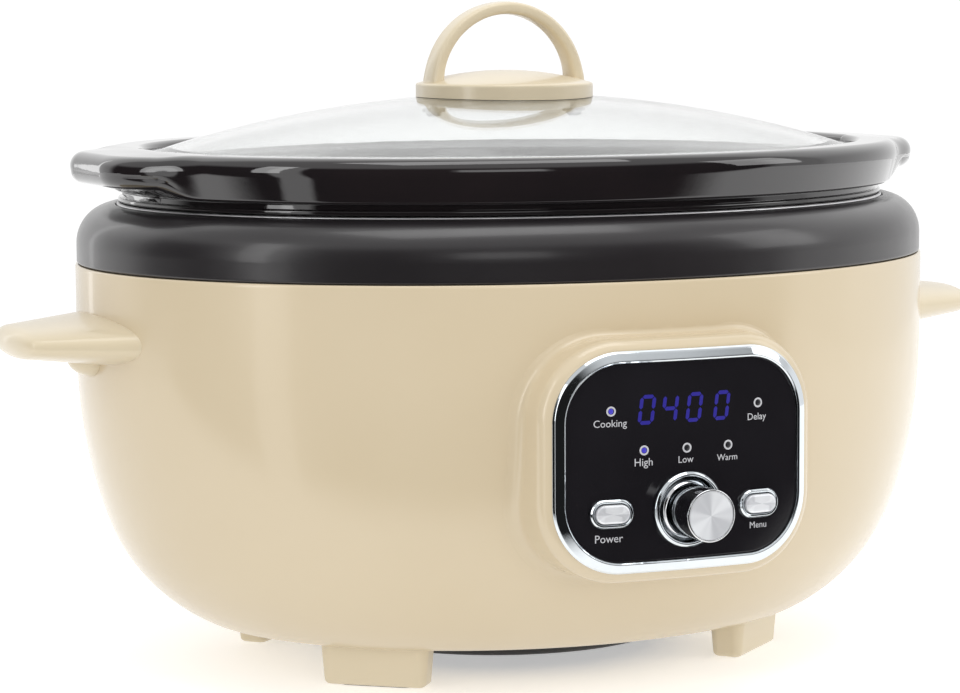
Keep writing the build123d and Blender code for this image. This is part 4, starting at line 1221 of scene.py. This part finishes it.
class COOKER_OT_keys(bpy.types.Operator):
    """The two stadium-shaped keys in their bright frames"""
    bl_idname = "cooker.keys"
    bl_label = "Keys"

    def execute(self, context):
        half = (BUTTON_HALF[0] + 2.1, BUTTON_HALF[1] + 2.1)
        rim = rounded_path([(0, 0.3), (-0.25, -1.2), (-0.9, -1.9), (-1.6, -1.7), (-1.8, -0.9),
                            (-1.8, 2.0), (-1.0, 2.0), (-1.0, 0.3)],
                           [0.1, 0.5, 0.35, 0.3, 0.2, 0.1, 0.1, 0.1], steps=5, splits=2, closed=True)
        key = rounded_path([(-2.6, -3.05), (0, -3.0), (0, 4.0), (-2.6, 4.0)], [0, 1.0, 0.3, 0],
                           steps=7, splits=4)
        fill = np.linspace(0, 1, 7)[:-1]
        full = np.concatenate([
            np.stack([np.full(6, -2.6), np.full(6, -3.05), fill], 1),
            np.hstack([key, np.ones((len(key), 1))]),
            [[-2.6, 4.0, 0]]])
        stem = np.array([[0, 3.5, 0.0], [0, 3.5, 1], [0, 6.2, 1], [0, 6.2, 0.0]])
        for name, side in (("power", -1), ("menu", 1)):
            mesh = make_mesh(name + "_frame", [sheet(key_loops(side, half, half[1] - 0.001, rim),
                                                     wrap_rows=True)])
            place(mesh, "housing", "chrome_trim", finish_of("chrome_trim"), [name + "_button_frame"])
            mesh = make_mesh(name + "_key", [
                sheet(key_loops(side, BUTTON_HALF, BUTTON_HALF[1] - 0.001, full)),
                sheet(key_loops(side, (1.8, 1.8), 0.3, stem, 16))])
            place(mesh, name + "_button", "spun_metal", finish_of("spun_metal"), [name + "_button"])
        return {"FINISHED"}


def segment_bars():
    """The lit bars of the digits: six-sided bars in the plane of the display, leaning as
    x + slant * height, laid just proud of the lens."""
    width, height, bar, slant = 5.0, 9.6, 1.4, 0.13
    arm, half = width / 2, height / 2
    reach = {"a": (0, half, 1), "b": (arm, half / 2, 0), "c": (arm, -half / 2, 0), "d": (0, -half, 1),
             "e": (-arm, -half / 2, 0), "f": (-arm, half / 2, 0), "g": (0, 0, 1)}
    tip = bar / 2
    sheets = []
    for digit_x, lit in zip(DIGIT_XS, DIGITS):
        for letter in lit:
            x, z, flat = reach[letter]
            run = (arm if flat else half / 2) - 0.22
            long = np.array([-run, -run + tip, run - tip, run, run - tip, -run + tip])
            wide = np.array([0, tip, tip, 0, -tip, -tip])
            px, pz = (long, wide) if flat else (wide, long)
            px, pz = px + x, pz + z
            px = px + slant * pz + digit_x
            rows = []
            for scale, depth in ((0.0, -0.06), (1.0, -0.06), (1.0, 0.05), (0.0, 0.05)):
                mx, mz = px.mean(), pz.mean()
                sx, sz = mx + (px - mx) * scale, mz + (pz - mz) * scale
                rows.append(np.stack([sx, panel_face(sx) + depth, DIGIT_Z + sz], 1))
            sheets.append(sheet(np.array(rows)))
    return sheets


class COOKER_OT_display(bpy.types.Operator):
    """The lit digits and the five lamps"""
    bl_idname = "cooker.display"
    bl_label = "Display"

    def execute(self, context):
        mesh = make_mesh("display_digits", segment_bars())
        place(mesh, "housing", "digit_glow", finish_of("digit_glow"), ["display_segments"])
        depths = np.array([[0.0, -0.28], [0.6, -0.2], [LAMP_RADIUS, -0.02], [LAMP_RADIUS, 10.5],
                           [0.0, 10.5]])
        for label, lit in (("lamps_on", True), ("lamps_off", False)):
            spots = [spot for index, spot in enumerate(LAMP_PLACES) if (index in LAMPS_LIT) == lit]
            sheets = []
            for x, z in spots:
                grid = panel_turned(depths, x, z, 32)
                grid[..., 1] += panel_face(x) - PANEL_FRONT
                sheets.append(sheet(grid, wrap_rows=True))
            mesh = make_mesh(label, sheets)
            finish = finish_of("lamp_glow" if lit else "lamp_dark")
            place(mesh, "housing", "lamp_glow", finish, ["indicator_lamps"] if lit else [])
        return {"FINISHED"}


def label_mesh(text, x, z, width):
    """Text as a flat mesh, scaled to its width and wrapped onto the panel's curved face."""
    curve = bpy.data.curves.new("word", "FONT")
    curve.body = text
    curve.resolution_u = 3
    curve.extrude = 0.01
    holder = bpy.data.objects.new("word", curve)
    bpy.context.scene.collection.objects.link(holder)
    graph = bpy.context.evaluated_depsgraph_get()
    mesh = bpy.data.meshes.new_from_object(holder.evaluated_get(graph))
    places = np.zeros(len(mesh.vertices) * 3)
    mesh.vertices.foreach_get("co", places)
    places = places.reshape(-1, 3)
    low, high = places.min(0), places.max(0)
    across = (places[:, 0] - (low[0] + high[0]) / 2) * width / (high[0] - low[0])
    scale = width / (high[0] - low[0])
    up = places[:, 1] * scale - 0.35 * scale
    lifted = np.stack([x + across, panel_face(x + across) - 0.02 - places[:, 2] * 2.5, z + up], 1)
    mesh.vertices.foreach_set("co", ((lifted + CENTRE) * MM).ravel())
    bpy.data.objects.remove(holder)
    return mesh


class COOKER_OT_print(bpy.types.Operator):
    """The plain words beside the lamps and keys, and the ring round each lamp"""
    bl_idname = "cooker.print"
    bl_label = "Panel print"

    def execute(self, context):
        whole = bmesh.new()
        for text, x, z, width in LABELS:
            whole.from_mesh(label_mesh(text, x, z, width))
        rings = []
        for x, z in LAMP_PLACES:
            path = np.array([[1.2, 0.02], [1.2, -0.05], [1.85, -0.05], [1.85, 0.02]])
            grid = panel_turned(path, x, z, 40)
            grid[..., 1] += panel_face(grid[..., 0]) - PANEL_FRONT
            rings.append(sheet(grid, wrap_rows=True))
        whole.from_mesh(make_mesh("rings", rings))
        bmesh.ops.remove_doubles(whole, verts=whole.verts, dist=1e-6)
        bmesh.ops.recalc_face_normals(whole, faces=whole.faces)
        mesh = bpy.data.meshes.new("panel_words")
        whole.to_mesh(mesh)
        whole.free()
        place(mesh, "housing", "panel_black", finish_of("panel_print"))
        return {"FINISHED"}


class COOKER_OT_frame_parts(bpy.types.Operator):
    """Finishes for the CAD nodes that keep their own shapes"""
    bl_idname = "cooker.frame_parts"
    bl_label = "Frame parts"

    def execute(self, context):
        slots = {row["node"]: row["material_slot"] for row in frame["record"]["subparts"]}
        for name, piece in frame["nodes"].items():
            material = finish_of(slots[name])
            piece.data.materials.clear()
            piece.data.materials.append(material)
        return {"FINISHED"}


# ------------------------------------------------------------------ studio

class COOKER_OT_studio(bpy.types.Operator):
    """Pale floor, soft lights, pale surroundings and the camera"""
    bl_idname = "cooker.studio"
    bl_label = "Studio"
    # Tall soft lights seen only in reflections: bearing from the camera's heading, half
    # width and softness in degrees, strength, and the heights between which it stands.
    STRIPS = ((-43.5, 2.0, 0.7, 2.4, -0.9, 0.55), (-136.0, 4.0, 3.0, 1.2, -0.9, 0.55),
              (86.0, 6.0, 8.0, 0.8, -0.9, 0.4), (165.0, 9.0, 4.0, 1.6, 0.14, 0.3))

    def floor(self):
        """A pale table. Mirrored, it ends a little way in front of the cooker, and it throws back
        less light than it shows."""
        half = 1.3
        mesh = bpy.data.meshes.new("floor")
        mesh.from_pydata([(-half, -half, 0), (half, -half, 0), (half, half, 0), (-half, half, 0)], [],
                         [(0, 1, 2, 3)])
        piece = bpy.data.objects.new("floor", mesh)
        bpy.context.scene.collection.objects.link(piece)
        finish = Finish("floor_pale", (0.93, 0.93, 0.93), 0.6, Specular_IOR_Level=0.2,
                        Emission_Strength=0.42)
        finish.set("Emission Color", (1.0, 1.0, 1.0, 1.0))
        nodes, links = finish.nodes, finish.links
        where, reach = nodes.new("ShaderNodeTexCoord"), nodes.new("ShaderNodeVectorMath")
        reach.operation = "DOT_PRODUCT"
        heading = bpy.context.scene.cooker_studio.camera_heading
        reach.inputs[1].default_value = (-math.sin(heading), -math.cos(heading), 0.0)
        links.new(where.outputs["Object"], reach.inputs[0])
        far = nodes.new("ShaderNodeMapRange")
        far.interpolation_type = "SMOOTHSTEP"
        far.inputs["From Min"].default_value = 0.2
        far.inputs["From Max"].default_value = 0.3
        links.new(reach.outputs["Value"], far.inputs["Value"])
        path, both = nodes.new("ShaderNodeLightPath"), nodes.new("ShaderNodeMath")
        both.operation = "MULTIPLY"
        links.new(path.outputs["Is Glossy Ray"], both.inputs[0])
        links.new(far.outputs["Result"], both.inputs[1])
        clear, mixed = nodes.new("ShaderNodeBsdfTransparent"), nodes.new("ShaderNodeMixShader")
        soft = nodes.new("ShaderNodeMath")
        soft.operation = "MULTIPLY_ADD"
        soft.inputs[1].default_value = 0.6
        links.new(path.outputs["Is Diffuse Ray"], soft.inputs[0])
        links.new(both.outputs["Value"], soft.inputs[2])
        links.new(soft.outputs["Value"], mixed.inputs["Fac"])
        links.new(finish.shader.outputs["BSDF"], mixed.inputs[1])
        links.new(clear.outputs["BSDF"], mixed.inputs[2])
        links.new(mixed.outputs["Shader"], nodes["Material Output"].inputs["Surface"])
        mesh.materials.append(finish.material)

    def light(self, name, place_at, target, size, power, mirrored=True):
        lamp = bpy.data.lights.new(name, "AREA")
        lamp.shape = "RECTANGLE"
        lamp.size, lamp.size_y = size
        lamp.energy = power
        holder = bpy.data.objects.new(name, lamp)
        holder.location = place_at
        holder.rotation_euler = (Vector(target) - Vector(place_at)).to_track_quat("-Z", "Y").to_euler()
        holder.visible_glossy = mirrored
        bpy.context.scene.collection.objects.link(holder)

    def surroundings(self):
        """White to the eye. In reflections it is white behind the cooker and overhead, and dim
        in front, where a studio is dark; everything else is lit evenly."""
        world = bpy.data.worlds.new("studio")
        world.use_nodes = True
        nodes, links = world.node_tree.nodes, world.node_tree.links
        back = nodes["Background"]

        def spread(source, low, high, to_low, to_high):
            node = nodes.new("ShaderNodeMapRange")
            node.interpolation_type = "SMOOTHSTEP"
            for label, value in (("From Min", low), ("From Max", high), ("To Min", to_low),
                                 ("To Max", to_high)):
                node.inputs[label].default_value = value
            links.new(source, node.inputs["Value"])
            return node.outputs["Result"]

        def pick(factor, first, second):
            node = nodes.new("ShaderNodeMix")
            links.new(factor, node.inputs["Factor"])
            for label, value in (("A", first), ("B", second)):
                if isinstance(value, float):
                    node.inputs[label].default_value = value
                else:
                    links.new(value, node.inputs[label])
            return node.outputs["Result"]

        where, split = nodes.new("ShaderNodeTexCoord"), nodes.new("ShaderNodeSeparateXYZ")
        turn = nodes.new("ShaderNodeVectorRotate")
        turn.rotation_type = "Z_AXIS"
        turn.inputs["Angle"].default_value = bpy.context.scene.cooker_studio.camera_heading
        links.new(where.outputs["Generated"], turn.inputs["Vector"])
        links.new(turn.outputs["Vector"], split.inputs["Vector"])

        def both(operation, first, second):
            node = nodes.new("ShaderNodeMath")
            node.operation = operation
            links.new(first, node.inputs[0])
            if isinstance(second, float):
                node.inputs[1].default_value = second
            else:
                links.new(second, node.inputs[1])
            return node.outputs["Value"]

        bearing = both("ARCTAN2", split.outputs["X"], split.outputs["Y"])
        behind = both("MULTIPLY", spread(split.outputs["Y"], 0.0, 0.3, 0.015, 1.0),
                      spread(split.outputs["Z"], 0.2, 0.6, 1.0, 1.5))
        mirrored = both("MAXIMUM", behind, spread(split.outputs["Z"], 0.38, 0.62, 0.0, 0.8))
        for middle, half, soft, power, low_z, high_z in self.STRIPS:
            offset = both("ABSOLUTE", both("ADD", bearing, math.radians(-middle)), 0.0)
            strip = spread(offset, math.radians(half), math.radians(half + soft), power, 0.0)
            tall = both("MULTIPLY", spread(split.outputs["Z"], high_z, high_z + 0.08, 1.0, 0.0),
                        spread(split.outputs["Z"], low_z - 0.08, low_z, 0.0, 1.0))
            mirrored = both("MAXIMUM", mirrored, both("MULTIPLY", strip, tall))
        path = nodes.new("ShaderNodeLightPath")
        strength = pick(path.outputs["Is Diffuse Ray"], mirrored, 0.70)
        strength = pick(path.outputs["Is Transmission Ray"], strength, 1.2)
        strength = pick(path.outputs["Is Camera Ray"], strength, 1.05)
        links.new(strength, back.inputs["Strength"])
        back.inputs["Color"].default_value = (1.0, 1.0, 1.0, 1.0)
        world.cycles.sampling_method = "NONE"
        bpy.context.scene.world = world

    def camera(self, studio):
        dip, heading = studio.camera_dip, studio.camera_heading
        ahead = Vector((math.sin(heading) * math.cos(dip), math.cos(heading) * math.cos(dip),
                        -math.sin(dip)))
        right = Vector((math.cos(heading), -math.sin(heading), 0.0))
        up = right.cross(ahead)
        c, s = math.cos(studio.camera_roll), math.sin(studio.camera_roll)
        right, up = right * c + up * s, up * c - right * s
        turn = Matrix((right, up, -ahead)).transposed()
        eye = bpy.data.cameras.new("camera")
        eye.lens = studio.lens
        eye.sensor_width = 36.0
        eye.clip_start, eye.clip_end = 0.05, 200.0
        holder = bpy.data.objects.new("camera", eye)
        holder.matrix_world = Matrix.Translation(studio.camera_place) @ turn.to_4x4()
        bpy.context.scene.collection.objects.link(holder)
        bpy.context.scene.camera = holder

    def execute(self, context):
        self.floor()
        self.surroundings()
        aim = (0.0, 0.0, 0.12)
        self.light("side_left", (-1.9, -0.55, 0.75), aim, (0.35, 1.5), 5.0)
        self.light("fill_right", (1.9, -1.2, 1.0), aim, (0.9, 1.3), 8.0)
        self.light("overhead", (0.0, -0.5, 2.1), aim, (1.6, 1.0), 12.0)
        self.light("front", (-0.1, -2.4, 0.5), aim, (1.4, 0.9), 6.5, mirrored=False)
        self.camera(context.scene.cooker_studio)
        context.scene.view_settings.view_transform = "Standard"
        return {"FINISHED"}


class COOKER_PT_panel(bpy.types.Panel):
    """The cooker's pieces and settings"""
    bl_idname = "COOKER_PT_panel"
    bl_label = "Slow cooker"
    bl_space_type = "VIEW_3D"
    bl_region_type = "UI"
    bl_category = "Slow cooker"

    def draw(self, context):
        scene = context.scene
        for group in (scene.cooker_colours, scene.cooker_shape, scene.cooker_studio):
            box = self.layout.box()
            for name in group.__annotations__:
                box.prop(group, name)
        for operator in OPERATORS:
            self.layout.operator(operator.bl_idname)


SETTINGS = (CookerColours, CookerShape, StudioSettings)
OPERATORS = (COOKER_OT_casing, COOKER_OT_collar, COOKER_OT_liner, COOKER_OT_crock, COOKER_OT_lid,
             COOKER_OT_lid_handle, COOKER_OT_grips, COOKER_OT_feet, COOKER_OT_panel, COOKER_OT_knob,
             COOKER_OT_keys, COOKER_OT_display, COOKER_OT_print, COOKER_OT_frame_parts,
             COOKER_OT_studio)


def register():
    for item in (*SETTINGS, *OPERATORS, COOKER_PT_panel):
        bpy.utils.register_class(item)
    bpy.types.Scene.cooker_colours = PointerProperty(type=CookerColours)
    bpy.types.Scene.cooker_shape = PointerProperty(type=CookerShape)
    bpy.types.Scene.cooker_studio = PointerProperty(type=StudioSettings)


def unregister():
    del bpy.types.Scene.cooker_studio
    del bpy.types.Scene.cooker_shape
    del bpy.types.Scene.cooker_colours
    for item in reversed((*SETTINGS, *OPERATORS, COOKER_PT_panel)):
        bpy.utils.unregister_class(item)


def main():
    register()
    for operator in OPERATORS:
        group, name = operator.bl_idname.split(".")
        getattr(getattr(bpy.ops, group), name)()


if __name__ == "__main__":
    main()
